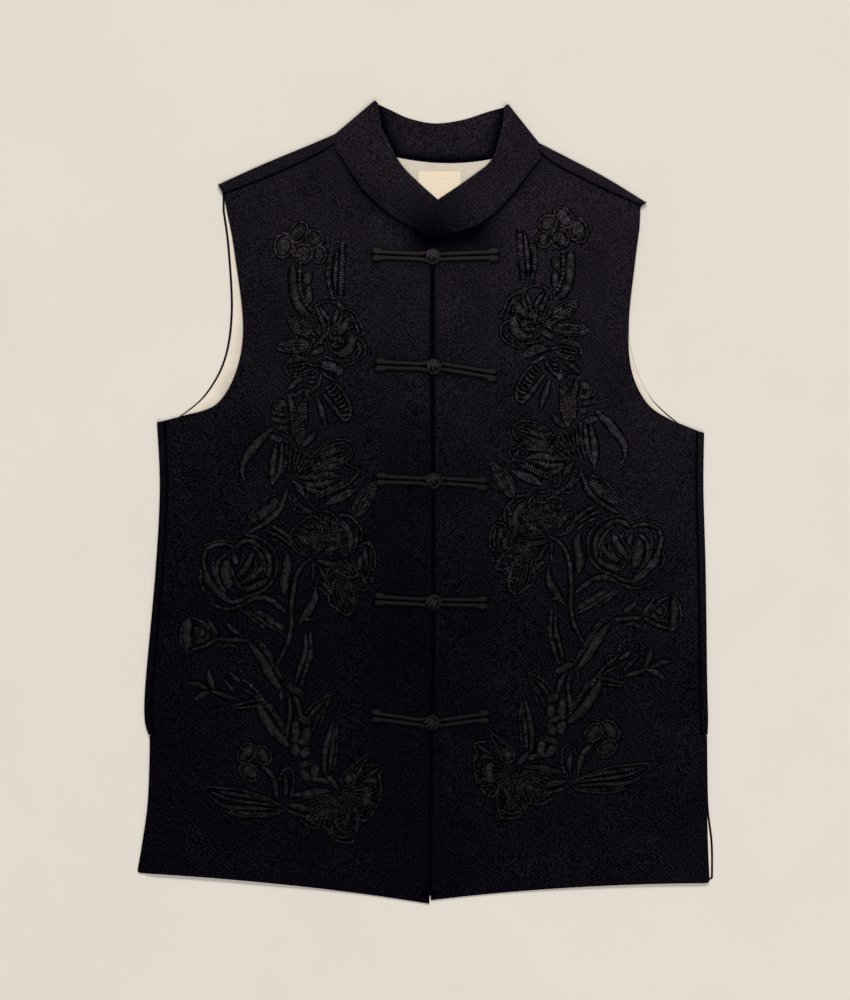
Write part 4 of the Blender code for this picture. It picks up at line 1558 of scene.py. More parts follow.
@dataclass(frozen=True)
class Lobe:
    """A round padded petal, that wide and that long, with a beaded edge."""

    centre: tuple[float, float]
    size: tuple[float, float]
    lean: float = 0.0


@dataclass(frozen=True)
class Leaf:
    """A veined leaf: a rib, slanted stitches at both sides and a raised edge."""

    base: tuple[float, float]
    tip: tuple[float, float]
    width: float
    bend: float = 0.0
    rib: float = 2.8


@dataclass(frozen=True)
class Ladder:
    """Short pads laid side by side across a line."""

    width: float
    line: Plan
    pitch: float = 4.4


@dataclass(frozen=True)
class Fan:
    """Beaded rows that spread from a centre, between two distances and two bearings."""

    centre: tuple[float, float]
    reach: tuple[float, float]
    bearings: tuple[float, float]
    rows: int
    radius: float = 1.05


@dataclass(frozen=True)
class Knots:
    """An oval patch of seed knots in staggered rows."""

    centre: tuple[float, float]
    size: tuple[float, float]
    lean: float = 0.0
    pitch: float = 2.7


Motif = Satin | Outline | Comb | Petal | Lobe | Leaf | Ladder | Fan | Knots


def oval_frame(stitch: Lobe | Knots) -> tuple[np.ndarray, np.ndarray, np.ndarray, np.ndarray]:
    """An oval's centre and half size, and unit vectors along it and to its right."""
    lean = math.radians(stitch.lean)
    along = np.array((math.sin(lean), math.cos(lean)))
    right = np.array((along[1], -along[0]))
    return np.array(stitch.centre), 0.5 * np.array(stitch.size), along, right


def tip_frame(stitch: Petal | Leaf) -> tuple[np.ndarray, float, np.ndarray, np.ndarray]:
    """A petal's base and length, and unit vectors along it and to its right."""
    base, tip = np.array(stitch.base), np.array(stitch.tip)
    length = float(np.linalg.norm(tip - base))
    along = (tip - base) / length
    return base, length, along, np.array((along[1], -along[0]))


@dataclass(frozen=True)
class Work:
    """What the needle has made: the threads, and beside them dark strips of cloth, painted in shade, as
    their shadow.
    """

    threads: Bodies = field(default_factory=Bodies)
    # ground gathers the dark strips painted in shade beside the stitches.
    ground: Bodies = field(default_factory=Bodies)


def as_plan(line: np.ndarray) -> Plan:
    """Turn rows of numbers into places."""
    return [(float(x), float(y)) for x, y in line]


@dataclass(frozen=True)
class Stitcher:
    """Works motifs in thread on the cloth of one front.

    The real 0.6 mm threads lie in bundles; a bundle is drawn at 2.6 mm, so that it shows. The
    shades and spreads say how far threads, beads and pads differ from one to the next.
    """

    place: Callable[[np.ndarray], np.ndarray]
    thread_pitch: float = 2.6
    rows_per_thread: int = 6
    thread_least: float = 0.92
    thread_spread: float = 0.16
    thread_shade: float = 0.35
    pad_shade: float = 0.2
    narrow_pad: float = 5.5
    slant: float = 0.7
    ridge: float = 0.5
    tuck: float = 32.0
    highest: float = 2.3
    line_steps: int = 8
    # The shadow strip beside each stitch: its reach past the stitch, its bevel, its levels and how dark it
    # is painted.
    shadow_strip_reach: float = 1.3
    shadow_strip_bevel: float = 0.25
    shadow_strip_levels: tuple[float, ...] = (-0.5, 0.1, 0.1, -0.5)
    shadow_strip_darkness: float = 0.97
    outline_sides: int = 7
    bead_least: float = 0.85
    bead_spread: float = 0.3
    bead_shade: float = 0.45
    wander: tuple[tuple[float, float], ...] = ((0.25, 1.7), (0.18, 3.1))
    couched: float = 0.7
    bar_radius: float = 0.8
    bar_points: int = 5
    bar_rise: float = 1.35
    bar_shade: float = 0.4
    comb_pitch: float = 2.1
    knot_sides: int = 6
    knot_rings: tuple[tuple[float, float], ...] = ((1.0, -0.25), (0.95, 0.45), (0.45, 1.0))
    knot_share: float = 0.40
    knot_stray: float = 0.7
    lobe_margin: float = 1.7
    lobe_edge: float = 1.35
    petal_swell: float = 0.22
    petal_opening: float = 28.0
    petal_frill: float = 0.07
    fill_pitch: float = 3.2
    fill_reach: float = 0.68
    fill_radius: float = 0.95
    leaf_edge: float = 1.05
    leaf_pitch: float = 3.0
    ladder_share: float = 0.66
    ladder_bow: float = 0.9
    fan_stagger: float = 0.3
    fan_waver: float = 0.07
    fill_shade: float = 0.15

    def ground(self, plan: np.ndarray) -> np.ndarray:
        """Height of the cloth under each place."""
        return cloth_top(plan[..., 0], plan[..., 1])

    def lay_shadow_strip(self, work: Work, line: np.ndarray, half: np.ndarray) -> None:
        """Line the crevices beside a stitch with a dark strip of cloth, painted in shade, as their shadow.

        Args:
            work: what it is added to.
            line: the stitch's middle line on the cloth.
            half: the stitch's half width at each point.
        """
        _, right = directions(line)
        reach = half + self.shadow_strip_reach
        flat = reach - self.shadow_strip_bevel
        offset = np.stack((-reach, -flat, flat, reach), axis=1)
        plan = line[:, None, :] + right[:, None, :] * offset[:, :, None]
        level = self.ground(plan) + np.array(self.shadow_strip_levels)
        painted_shade = np.full(level.shape, self.shadow_strip_darkness)
        work.ground.add(np.dstack((plan, level, painted_shade)), reach_of(line), offset)

    def raise_over(self, work: Work, line: np.ndarray, offset: np.ndarray, height: np.ndarray,
                   shade_and_tone: np.ndarray) -> None:
        """Add a raised body of thread.

        Args:
            work: what it is added to.
            line: its middle line on the cloth.
            offset: how far right of the line each point of each ring lies.
            height: how far above the cloth each point lies.
            shade_and_tone: how much painted shade each point has, with a random darker tone, 0 to 1.
        """
        _, right = directions(line)
        plan = line[:, None, :] + right[:, None, :] * offset[:, :, None]
        level = self.ground(line)[:, None] + height
        work.threads.add(np.dstack((plan, level, shade_and_tone)), reach_of(line), offset)

    def taper(self, tip: Tip, share: np.ndarray) -> np.ndarray:
        """Share of the full width that a pad has along its length."""
        if tip is Tip.BLUNT:
            return np.maximum(0.30, (1.0 - np.abs(2.0 * share - 1.0) ** 4) ** 0.5)
        if tip is Tip.DROP:
            return np.maximum(0.12, np.sin(math.pi * share ** 0.6) ** 0.75)
        if tip is Tip.ROUND:
            return np.maximum(0.15, np.sqrt(1.0 - (2.0 * share - 1.0) ** 2))
        return np.maximum(0.12, np.sin(math.pi * share) ** 0.62)

    def satin(self, work: Work, stitch: Satin) -> None:
        """Lay one pad of satin stitch, its threads a little aslant."""
        route = self.place(smooth_line(stitch.line, self.line_steps))
        seed = float(route[0].sum())
        line = even_line(route, self.thread_pitch / self.rows_per_thread)
        share = np.linspace(0.0, 1.0, len(line))
        reach = reach_of(line)
        taper = self.taper(stitch.tip, share)
        thread = np.floor(reach / self.thread_pitch)
        ragged = self.thread_least + self.thread_spread * scatter(thread, seed)
        corners = 7 if stitch.width < self.narrow_pad else 9
        angle = np.radians(np.linspace(-self.tuck, 180.0 + self.tuck, corners))
        half = 0.5 * stitch.width * taper
        offset = -(half * ragged)[:, None] * np.cos(angle)
        crown = min(self.highest, 0.7 + 0.24 * stitch.width ** 0.85) * taper ** 0.8
        waves = np.cos(math.tau * (reach[:, None] + self.slant * offset) / self.thread_pitch)
        height = crown[:, None] * (0.3 + np.sin(angle)) * (1.0 - self.ridge * 0.5 * (1.0 - waves))
        height[:, 1:-1] += stitch.lift
        # The pad's sides and the troughs between its threads are painted in shade; each pad and thread
        # also gets a random darker tone.
        low = in_shade(angle, 0.85, 1.1)
        shade = (self.pad_shade * scatter(seed, 1.0)
                 + self.thread_shade * scatter(thread, seed + 1.0)[:, None])
        shade_and_tone = np.minimum(1.0, shade + np.maximum(low, 0.65 * (1.0 - waves) / 2.0))
        self.raise_over(work, line, offset, height, shade_and_tone)
        self.lay_shadow_strip(work, line[::4], half[::4])

    def outline(self, work: Work, stitch: Outline) -> None:
        """Couch one raised outline."""
        pitch, least, bulge, groove = PLY_SHAPES[stitch.ply]
        line = even_line(self.place(smooth_line(stitch.line, self.line_steps)), pitch / 4.0)
        reach = reach_of(line)
        seed = float(line[0].sum())
        bead_number = np.floor(reach / pitch)
        wander = sum(depth * np.sin(pace * reach + number * seed)
                     for number, (depth, pace) in enumerate(self.wander, 1))
        line = line + directions(line)[1] * wander[:, None]
        angle = np.linspace(0.0, math.tau, self.outline_sides + 1)[:-1]
        turn = math.pi * reach[:, None] / pitch
        bead = np.repeat(np.abs(np.sin(turn)), len(angle), axis=1)
        if stitch.ply is Ply.TWISTED:
            bead = 0.5 + 0.5 * np.cos(2.0 * angle - 2.0 * turn)
        swell = least + bulge * bead - groove * np.sin(angle) ** 8
        uneven = self.bead_least + self.bead_spread * scatter(bead_number, seed)
        radius = stitch.radius * swell * uneven[:, None]
        height = self.couched * stitch.radius + np.sin(angle) * radius
        # The outline's sides and the gaps between its beads are painted in shade; each bead also gets a
        # random darker tone.
        low = in_shade(angle, 0.6, 1.0)
        shade = stitch.shade + self.bead_shade * scatter(bead_number, seed + 1.0)[:, None]
        self.raise_over(work, line, -np.cos(angle) * radius, height,
                        np.minimum(1.0, shade + np.maximum(low, 0.9 * (1.0 - bead))))
        self.lay_shadow_strip(work, line[::3], np.full(len(line[::3]), 0.75 * stitch.radius))

    def bar(self, work: Work, start: np.ndarray, end: np.ndarray) -> None:
        """Lay one straight raised stitch."""
        share = np.linspace(0.0, 1.0, self.bar_points)
        ends = self.place(np.array((start, end)))
        line = ends[0] + (ends[1] - ends[0]) * share[:, None]
        angle = np.radians(np.linspace(-self.tuck, 180.0 + self.tuck, self.bar_points))
        taper = np.maximum(0.4, np.sin(math.pi * share ** 0.85) ** 0.6)[:, None]
        height = self.bar_rise * self.bar_radius * taper * (0.35 + np.sin(angle))
        shade = self.bar_shade * float(scatter(float(line[0].sum()), 3.0))
        # The bar's sides are painted in shade, over a random darker tone.
        shade_and_tone = np.repeat(in_shade(angle, shade + 0.7, 1.0)[None, :], len(share), axis=0)
        self.raise_over(work, line, -self.bar_radius * taper * np.cos(angle), height, shade_and_tone)

    def comb(self, work: Work, stitch: Comb) -> None:
        """Work a row of slanted stitches."""
        spine = even_line(smooth_line(stitch.line, self.line_steps), self.comb_pitch)
        along, right = directions(spine)
        lean = math.radians(stitch.slant)
        aim = along * math.cos(lean) - right * math.sin(lean) * stitch.side
        for number, (root, ahead) in enumerate(zip(spine, aim)):
            fade = 0.7 + 0.3 * math.sin(math.pi * (number + 0.5) / len(spine))
            length = stitch.length * fade * (1.0 + 0.08 * math.sin(number * 2.4))
            self.bar(work, root, root + ahead * length)
        middle = self.place(spine + aim * 0.45 * stitch.length)
        half = 0.45 * stitch.length * math.sin(lean)
        self.lay_shadow_strip(work, middle, np.full(len(middle), half))

    def knots(self, work: Work, stitch: Knots) -> None:
        """Fill an oval with seed knots."""
        centre, half, along, right = oval_frame(stitch)
        share = np.linspace(-0.98, 0.98, 9)
        middle = self.place(centre + along * (half[1] * share)[:, None])
        self.lay_shadow_strip(work, middle, half[0] * np.sqrt(1.0 - share ** 2))
        angle = np.linspace(0.0, math.tau, self.knot_sides + 1)[:-1]
        rings = np.array(self.knot_rings)
        for row in range(int(2.0 * half[1] / stitch.pitch) + 1):
            up = (row + 0.5) * stitch.pitch - half[1]
            room = half[0] * math.sqrt(max(0.0, 1.0 - (up / half[1]) ** 2))
            for number in range(int(2.0 * room / stitch.pitch) + 1):
                aside = (number + 0.25 + 0.5 * (row % 2)) * stitch.pitch - room
                if aside > room:
                    continue
                chance = scatter(np.arange(3.0) + 7.0 * number + 31.0 * row, stitch.pitch)
                stray = along * (chance[0] - 0.5) + right * (chance[1] - 0.5)
                place = centre + along * up + right * aside + stray * self.knot_stray * stitch.pitch
                spot = self.place(place[None, :])[0]
                size = self.knot_share * stitch.pitch * (0.8 + 0.4 * chance[2])
                plan = spot + size * rings[:, :1, None] * np.dstack((np.cos(angle), np.sin(angle)))
                level = self.ground(spot) + size * rings[:, 1]
                # Each knot's foot is painted in full shade and its middle partly; its top gets a random
                # tone.
                shade_and_tone = np.array((1.0, 0.7, 0.25 + 0.6 * chance[1]))
                upright = np.stack((level, shade_and_tone), axis=1)[:, None].repeat(len(angle), axis=1)
                work.threads.add(np.dstack((plan, upright)), rings[:, 1], np.zeros(plan.shape[:2]))

    def petal(self, work: Work, stitch: Petal) -> None:
        """Couch the outline of one petal and fill it with beaded rows."""
        base, length, along, right = tip_frame(stitch)
        turn = np.radians(np.linspace(self.petal_opening, 360.0 - self.petal_opening, 20))
        ahead = length * (1.0 - np.cos(turn)) / 2.0
        swell = 1.0 + self.petal_swell * (1.0 - np.cos(turn)) / 2.0
        aside = 0.5 * stitch.width * np.sin(turn) * swell
        if stitch.frill:
            wave = 1.0 + self.petal_frill * np.cos(stitch.frill * (turn - math.pi))
            ahead *= wave
            aside *= wave
        line = base + along * ahead[:, None] + right * aside[:, None]
        self.outline(work, Outline(stitch.ply, as_plan(line)))
        share = np.linspace(0.16, 0.84, 7)
        reach = np.sqrt(1.0 - (1.0 - 2.0 * share) ** 2) * (1.0 + self.petal_swell * share)
        rows = max(2, int(stitch.width / self.fill_pitch))
        for place in np.linspace(-self.fill_reach, self.fill_reach, rows):
            ray = (base + along * length * (share - 0.05 * abs(place))[:, None]
                   + right * (0.5 * stitch.width * place * reach)[:, None])
            self.outline(work, Outline(BEADED, as_plan(ray), self.fill_radius, self.fill_shade))

    def lobe(self, work: Work, stitch: Lobe) -> None:
        """Pad one round petal and couch beads round it."""
        centre, half, along, right = oval_frame(stitch)
        middle = centre + along * (half[1] * np.linspace(-1.0, 1.0, 5))[:, None]
        self.satin(work, Satin(stitch.size[0], as_plan(middle), Tip.ROUND))
        turn = np.linspace(0.0, math.tau, 17)[:, None]
        across, up = half + self.lobe_margin
        edge = centre + right * np.cos(turn) * across + along * np.sin(turn) * up
        self.outline(work, Outline(BEADED, as_plan(edge), self.lobe_edge))

    def leaf(self, work: Work, stitch: Leaf) -> None:
        """Work one veined leaf."""
        base, length, along, right = tip_frame(stitch)

        def at(share: np.ndarray, side: float, inset: float) -> np.ndarray:
            """Places on the leaf, by share of its length and of its half width."""
            half = 0.5 * stitch.width * np.sin(math.pi * share ** 0.85) ** 0.75
            across = stitch.bend * np.sin(math.pi * share) + side * half * inset
            return base + along * (length * share)[:, None] + right * across[:, None]

        whole = np.linspace(0.0, 1.0, 11)
        self.satin(work, Satin(stitch.rib, as_plan(at(whole[:-1], 0.0, 0.0))))
        roots = np.linspace(0.06, 0.84, max(4, int(length / self.leaf_pitch)))
        tips = np.minimum(0.97, roots + 0.28 * stitch.width / length)
        for side in (-1.0, 1.0):
            self.outline(work, Outline(TWISTED, as_plan(at(whole, side, 1.0)), self.leaf_edge))
            for start, end in zip(at(roots, side, 0.25), at(tips, side, 0.84)):
                self.bar(work, start, end)

    def ladder(self, work: Work, stitch: Ladder) -> None:
        """Lay short pads across a line."""
        line = even_line(smooth_line(stitch.line, self.line_steps), stitch.pitch)
        along, right = directions(line)
        for place, ahead, aside in zip(line, along, right):
            bowed = [place + aside * stitch.width * end + ahead * self.ladder_bow * (1.0 - 4.0 * end * end)
                     for end in (-0.5, 0.0, 0.5)]
            self.satin(work, Satin(self.ladder_share * stitch.pitch, as_plan(np.array(bowed)), BLUNT))

    def fan(self, work: Work, stitch: Fan) -> None:
        """Couch beaded rows that spread from a centre; every other one starts further out."""
        near, far = stitch.reach
        for number, bearing in enumerate(np.radians(np.linspace(*stitch.bearings, stitch.rows))):
            away = np.array((math.sin(bearing), math.cos(bearing)))
            start = near + self.fan_stagger * (far - near) * (number % 2)
            end = far * (1.0 + self.fan_waver * math.sin(2.4 * number))
            row = np.array(stitch.centre) + away * np.array((start, end))[:, None]
            self.outline(work, Outline(BEADED, as_plan(row), stitch.radius, self.fill_shade))

    def work(self, work: Work, motifs: Sequence[Motif]) -> None:
        """Work each motif in turn."""
        ways = {Satin: self.satin, Outline: self.outline, Comb: self.comb, Petal: self.petal,
                Lobe: self.lobe, Leaf: self.leaf, Ladder: self.ladder, Fan: self.fan,
                Knots: self.knots}
        for motif in motifs:
            ways[type(motif)](work, motif)


# The spray on the wearer's right front, from its top blossom down to the peony at the hem.
BLOSSOM = (
    Lobe((-124.7, 225.3), (12, 18), 14),
    Lobe((-111.8, 236.8), (11, 16), 40),
    Lobe((-97.8, 231.2), (11, 12), -45),
    Lobe((-93.8, 217.2), (9, 11), -10),
    Lobe((-108, 218), (13, 13), 60),
    Satin(8.2, ((-117, 207), (-116.5, 195), (-114.5, 180), (-110, 170), (-103, 163.5)), BLUNT),
    Outline(CHAIN, ((-110, 208), (-110.5, 198), (-110, 188), (-108, 180), (-104.5, 173),
                    (-100, 168)), 1.7),
    Satin(7.5, ((-103.5, 202), (-104.5, 190.5)), BLUNT),
    Satin(6.5, ((-103, 189.5), (-102.5, 174)), BLUNT),
)

TOP_FEATHER = (
    Outline(TWISTED, ((-83, 218), (-86, 206), (-85.5, 193), (-83, 184), (-81.5, 178)), 1.9),
    Satin(4.4, ((-77.5, 223), (-79.3, 202), (-79.5, 183))),
    Comb(5.5, ((-77, 180), (-76.3, 202), (-75.5, 226)), -1, 75),
    Comb(3.0, ((-81.5, 212), (-83.5, 200), (-82, 186)), -1, 80),
)

UPPER_PEONY = (
    Outline(TWISTED, ((-99, 164), (-96, 172), (-90, 175.5), (-84, 176), (-77, 173), (-73, 165)), 1.3),
    Satin(4.2, ((-93, 171), (-88.5, 164.5), (-84, 158))),
    Satin(4.2, ((-77, 170), (-79, 163), (-82, 158))),
    Comb(4.2, ((-97, 169), (-94, 161), (-91, 155)), 1, 70),
    Comb(3.6, ((-74.5, 170), (-76, 162), (-78, 156)), 1, 70),
    Outline(TWISTED, ((-78, 178), (-73, 171), (-67, 168.5), (-61.5, 165), (-58, 157), (-54, 149),
                      (-57, 146)), 1.35),
    Outline(BEADED, ((-66, 164), (-61.5, 157), (-59, 149)), 1.1),
    Satin(6.6, ((-66, 162), (-70.5, 155), (-75.5, 148)), BLUNT),
    Satin(8.2, ((-65.5, 148), (-65, 140), (-68.5, 133), (-76, 130.5)), BLUNT),
    Outline(TWISTED, ((-62, 145), (-56, 142), (-53, 135), (-55, 128), (-62, 123), (-71, 120)), 1.4),
    Outline(BEADED, ((-60, 140), (-57.5, 134), (-60, 128), (-66, 124.5)), 1.2),
    Satin(3.6, ((-83, 133), (-76, 129.5), (-68, 126.5))),
    Outline(BEADED, ((-90, 128), (-83, 125.5), (-74, 123.5))),
    Outline(TWISTED, ((-103, 131), (-100, 139), (-95, 143), (-90, 140), (-86, 131)), 1.3),
    Satin(5.8, ((-100.5, 130), (-95, 132), (-89.5, 136)), BLUNT),
    Satin(3.4, ((-98, 136), (-94.5, 140), (-91, 139))),
    Fan((-86, 138), (6, 21), (-68, 32), 8),
    Knots((-84, 149), (26, 20)),
    Knots((-66, 154), (8, 11), -25),
    Knots((-112, 127), (13, 6), 0),
    Knots((-73, 141), (8, 9)),
    Comb(4.0, ((-97, 119), (-88, 116), (-78, 111)), 1, 70),
    Satin(3.4, ((-96, 153), (-90, 146), (-82, 151))),
    Satin(4.4, ((-83, 143), (-77, 143), (-72, 139))),
    Satin(3.4, ((-84, 138), (-79, 136.5), (-73, 137))),
    Leaf((-100, 149), (-121, 162), 12, -1.5),
    Leaf((-102, 138), (-131, 135), 13, 1.0),
    Petal((-101, 121), (-123, 116), 15),
    Outline(BEADED, ((-106, 125), (-101, 120), (-94, 119.5))),
    Satin(8.4, ((-91, 121.5), (-82, 118.5), (-72, 112.5)), BLUNT),
    Satin(3.6, ((-92, 115), (-86.5, 110), (-79, 106.5))),
)

UPPER_LEAVES = (
    Satin(5.6, ((-122, 98), (-115, 104), (-108, 109))),
    Comb(5.0, ((-122, 95), (-114, 97), (-107, 101)), -1, 75),
    Satin(4.2, ((-91.5, 114), (-93, 106), (-97, 100), (-105, 93))),
    Ladder(7.0, ((-100, 110), (-101, 98)), 3.8),
    Satin(5.5, ((-105.5, 98), (-104, 91)), BLUNT),
    Satin(5.6, ((-96, 93), (-91.5, 80), (-86.5, 64))),
    Satin(4.4, ((-91, 97), (-83, 86), (-76, 77), (-71, 70)), BLUNT),
    Ladder(8.2, ((-85, 102), (-80, 95), (-75, 88), (-71, 80), (-70, 73)), 4.2),
    Outline(BEADED, ((-79, 104), (-71, 94), (-66, 83), (-67, 73))),
    Leaf((-111, 50), (-106, 91), 10, -1.5),
    Comb(4.6, ((-115, 58), (-115.5, 70), (-114, 82)), 1, 60),
    Satin(5.4, ((-120, 93), (-118, 86), (-118, 77))),
    Satin(7.0, ((-130, 87), (-122.5, 86)), BLUNT),
    Lobe((-131.5, 81.2), (3.4, 3.4)),
    Satin(4.6, ((-130, 76.5), (-122, 77)), BLUNT),
    Satin(5.2, ((-134.5, 73), (-130, 71.8), (-123, 70)), BLUNT),
    Satin(6.0, ((-129.5, 65.5), (-121.5, 63.5)), BLUNT),
    Satin(5.0, ((-140, 61.5), (-134, 64)), BLUNT),
    Satin(6.4, ((-136.5, 57.5), (-131, 56), (-126, 54)), BLUNT),
    Satin(8.2, ((-138, 61), (-146, 54), (-152, 46), (-157.5, 39), (-161, 31), (-160.5, 22),
                (-157, 17)), DROP),
    Satin(7.0, ((-131, 53), (-133, 40), (-134.5, 28), (-134, 13))),
    Satin(4.6, ((-126, 53), (-127, 38), (-129, 27), (-133, 16))),
    Comb(4.2, ((-129, 21), (-125, 34), (-123.5, 52)), -1, 60),
    Satin(6.2, ((-109, 48.5), (-102, 55), (-95.5, 63.5))),
)

LILY = (
    Fan((-121, 13), (12, 34), (4, 60), 8, 1.15),
    Knots((-91, 22), (38, 15), 85),
    Knots((-103, 34), (12, 17), 20),
    Knots((-84, 44), (20, 5), -70),
    Knots((-112, 12), (6, 12), 45),
    Comb(4.0, ((-98, 27), (-87, 27.5), (-76, 28.5)), 1, 75),
    Comb(4.5, ((-96, 5), (-84, 9), (-73, 15)), 1, 70),
    Petal((-98, 37), (-63, 49), 19, TWISTED),
    Satin(3.6, ((-95, 42), (-88, 47.5), (-79, 50.5))),
    Satin(3.6, ((-93, 39), (-84, 43.5), (-75, 47))),
    Satin(4.4, ((-93, 35), (-86, 35.5), (-77, 39))),
    Satin(5.4, ((-98, 29.5), (-87, 31), (-75, 34))),
    Satin(5.0, ((-76, 37.5), (-72, 36)), BLUNT),
    Outline(TWISTED, ((-71, 35), (-65, 31), (-59, 28), (-62, 22), (-70, 19.5)), 1.35),
    Outline(BEADED, ((-72, 30), (-67, 28), (-66, 24)), 1.1),
    Satin(5.8, ((-101, 20), (-92, 23.2), (-84, 24.2), (-74, 21.5))),
    Satin(3.8, ((-112, 22.5), (-104, 21), (-97, 24))),
    Satin(5.2, ((-109, 17), (-98, 15), (-88, 16.5), (-79, 19.5))),
    Satin(5.2, ((-107, 14.5), (-100, 10), (-92, 8.5))),
    Outline(BEADED, ((-93, 4.5), (-82, 9), (-74, 13), (-66, 17.5), (-59, 25)), 1.2),
    Satin(4.6, ((-117, 19), (-110, 12), (-106, 2))),
    Satin(8.4, ((-88, -2), (-76, 4), (-61, 11))),
    Outline(TWISTED, ((-103.5, 9), (-104, 1), (-99, -4), (-95, 1), (-96, 7)), 1.2),
    Outline(TWISTED, ((-123, 12), (-119, 3), (-114, -3), (-115, -8), (-105, -9)), 1.2),
    Comb(5.0, ((-114, 5), (-109, -2), (-101, -7)), -1, 70),
)

MIDDLE_FEATHER = (
    Leaf((-63, -13), (-43, 18), 13, -1.0),
    Satin(5.4, ((-120, 14), (-124, 4), (-128, -6), (-135, -14), (-145, -21), (-158, -28))),
    Comb(10.5, ((-128, -1), (-134, -9), (-143, -16), (-152, -21)), -1, 82),
    Outline(BEADED, ((-127, 7), (-139, 4), (-150, -6), (-159, -19)), 0.9),
    Satin(4.4, ((-138, -20), (-127, -25.5), (-115, -37))),
    Outline(BEADED, ((-139, -26), (-129, -30), (-119, -38)), 1.2),
    Outline(BEADED, ((-137, -31), (-128, -36), (-120, -42)), 1.1),
)

MIDDLE_PEONY = (
    Outline(TWISTED, ((-110, -19), (-104, -14), (-98, -12.5), (-92, -16)), 1.3),
    Outline(TWISTED, ((-93, -8), (-84, -9), (-79, -14), (-76.5, -19)), 1.3),
    Outline(BEADED, ((-75, -11), (-67, -12.5), (-61, -18), (-56, -26), (-57, -34)), 1.5),
    Fan((-86, -47), (8, 28), (-50, 40), 13, 1.15),
    Fan((-84, -46), (7, 17), (50, 92), 5),
    Fan((-86, -47), (27, 33), (-42, 8), 9),
    Knots((-87, -30), (44, 32)),
    Knots((-72, -60), (26, 22)),
    Knots((-69, -81), (16, 22), 15),
    Knots((-62, -34), (5, 17)),
    Knots((-92, -38), (10, 9), -20),
    Satin(6.2, ((-75, -17), (-69, -23), (-66, -31), (-67, -43)), BLUNT),
    Satin(5.4, ((-91, -46), (-84, -41.5), (-75, -37.5))),
    Outline(BEADED, ((-60, -22), (-61, -30), (-61, -40)), 1.2),
    Petal((-100, -45), (-116, -26), 17, TWISTED, 3),
    Satin(4.0, ((-104, -39), (-107, -33), (-112, -29))),
    Outline(TWISTED, ((-58, -40), (-55, -36.5), (-50, -36), (-45.5, -42), (-44.5, -50), (-45, -57),
                      (-49, -61)), 1.4),
    Satin(5.2, ((-54, -39), (-53, -46), (-51.5, -55))),
    Outline(BEADED, ((-49, -41), (-47.8, -49), (-49, -57)), 1.1),
    Satin(6.0, ((-58, -49), (-58, -60)), BLUNT),
    Outline(BEADED, ((-64, -50), (-62.5, -57), (-60, -64), (-66, -66), (-73, -65)), 1.2),
    Satin(5.4, ((-97, -51), (-88, -53.5), (-80, -55), (-74, -53.5))),
    Satin(4.2, ((-95, -55), (-91, -62), (-86, -71))),
    Outline(TWISTED, ((-99, -54), (-99, -62), (-100, -71)), 1.2),
    Fan((-88, -52), (6, 24), (100, 172), 9),
    Knots((-66, -57), (11, 9)),
    Knots((-52, -66), (9, 9)),
    Knots((-55, -46), (3.5, 16)),
    Petal((-76, -68), (-69, -97), 22, BEADED, 4),
    Satin(4.6, ((-93, -70), (-88, -74), (-82, -81)), BLUNT),
    Outline(BEADED, ((-94, -75), (-88, -80), (-83, -86)), 1.2),
    Satin(3.6, ((-67, -72), (-64, -80), (-61.5, -90))),
    Outline(BEADED, ((-62, -76), (-54, -77.5), (-48, -72), (-47, -66)), 1.1),
    Comb(4.0, ((-56, -64), (-52, -68), (-50, -75)), -1, 70),
)

ROSE = (
    Satin(3.8, ((-194, -42), (-187, -38.5), (-177, -37), (-168, -40)), BLUNT),
    Satin(4.4, ((-192.5, -42), (-195, -50), (-193.5, -60)), BLUNT),
    Satin(6.8, ((-193.5, -59), (-191, -68), (-185, -76), (-178, -83), (-171, -87.5)), BLUNT),
    Satin(3.8, ((-175, -88), (-167, -87.5), (-157, -84.5)), BLUNT),
    Satin(4.8, ((-168, -41), (-162, -35.8), (-155, -34.2), (-149, -36.5), (-145, -41)), BLUNT),
    Satin(5.2, ((-144, -40), (-138.5, -47), (-137, -57), (-139, -67)), BLUNT),
    Satin(6.0, ((-139, -68), (-148, -73.5), (-159, -77.5)), BLUNT),
    Outline(TWISTED, ((-158, -29.5), (-149, -31), (-140, -35.5), (-133, -43), (-130.5, -52),
                      (-131.5, -62), (-135, -70), (-142, -77), (-150, -81), (-160, -84)), 1.6),
    Outline(BEADED, ((-197, -60), (-198, -69), (-195, -78)), 1.3),
    Outline(TWISTED, ((-189, -89), (-181, -92.5), (-172, -94), (-162, -90.5)), 1.5),
    Outline(BEADED, ((-194, -38), (-186, -35), (-177, -33.5), (-169, -36)), 1.0),
    Satin(4.6, ((-174, -45), (-181, -51), (-184, -60), (-182, -70), (-176, -78)), BLUNT),
    Satin(9.6, ((-175, -51), (-175.5, -63), (-172, -76)), BLUNT, 0.4),
    Satin(5.0, ((-168.5, -46.5), (-166, -55)), BLUNT),
    Outline(TWISTED, ((-171, -57), (-168.5, -65), (-164, -73), (-160, -78)), 1.4),
    Satin(6.8, ((-151.5, -43), (-155, -52), (-160, -60), (-166, -66))),
    Outline(TWISTED, ((-147, -44), (-143.5, -52), (-145, -61), (-152, -68)), 1.15),
    Outline(BEADED, ((-150, -51), (-149, -58), (-155, -66), (-162, -71)), 1.1),
    Comb(3.6, ((-187.5, -50), (-188.5, -60), (-185, -70), (-178, -79)), 1, 75),
    Comb(4.6, ((-168, -73), (-160, -72), (-150, -67), (-143, -58)), 1, 60),
    Comb(3.4, ((-142, -66), (-139.5, -56), (-143, -46), (-150, -39)), 1, 60),
    Knots((-164, -68), (5, 8), 30),
    Knots((-159, -50), (4, 7), 15),
    Outline(BEADED, ((-163, -43), (-160, -48), (-163, -56)), 1.0),
)

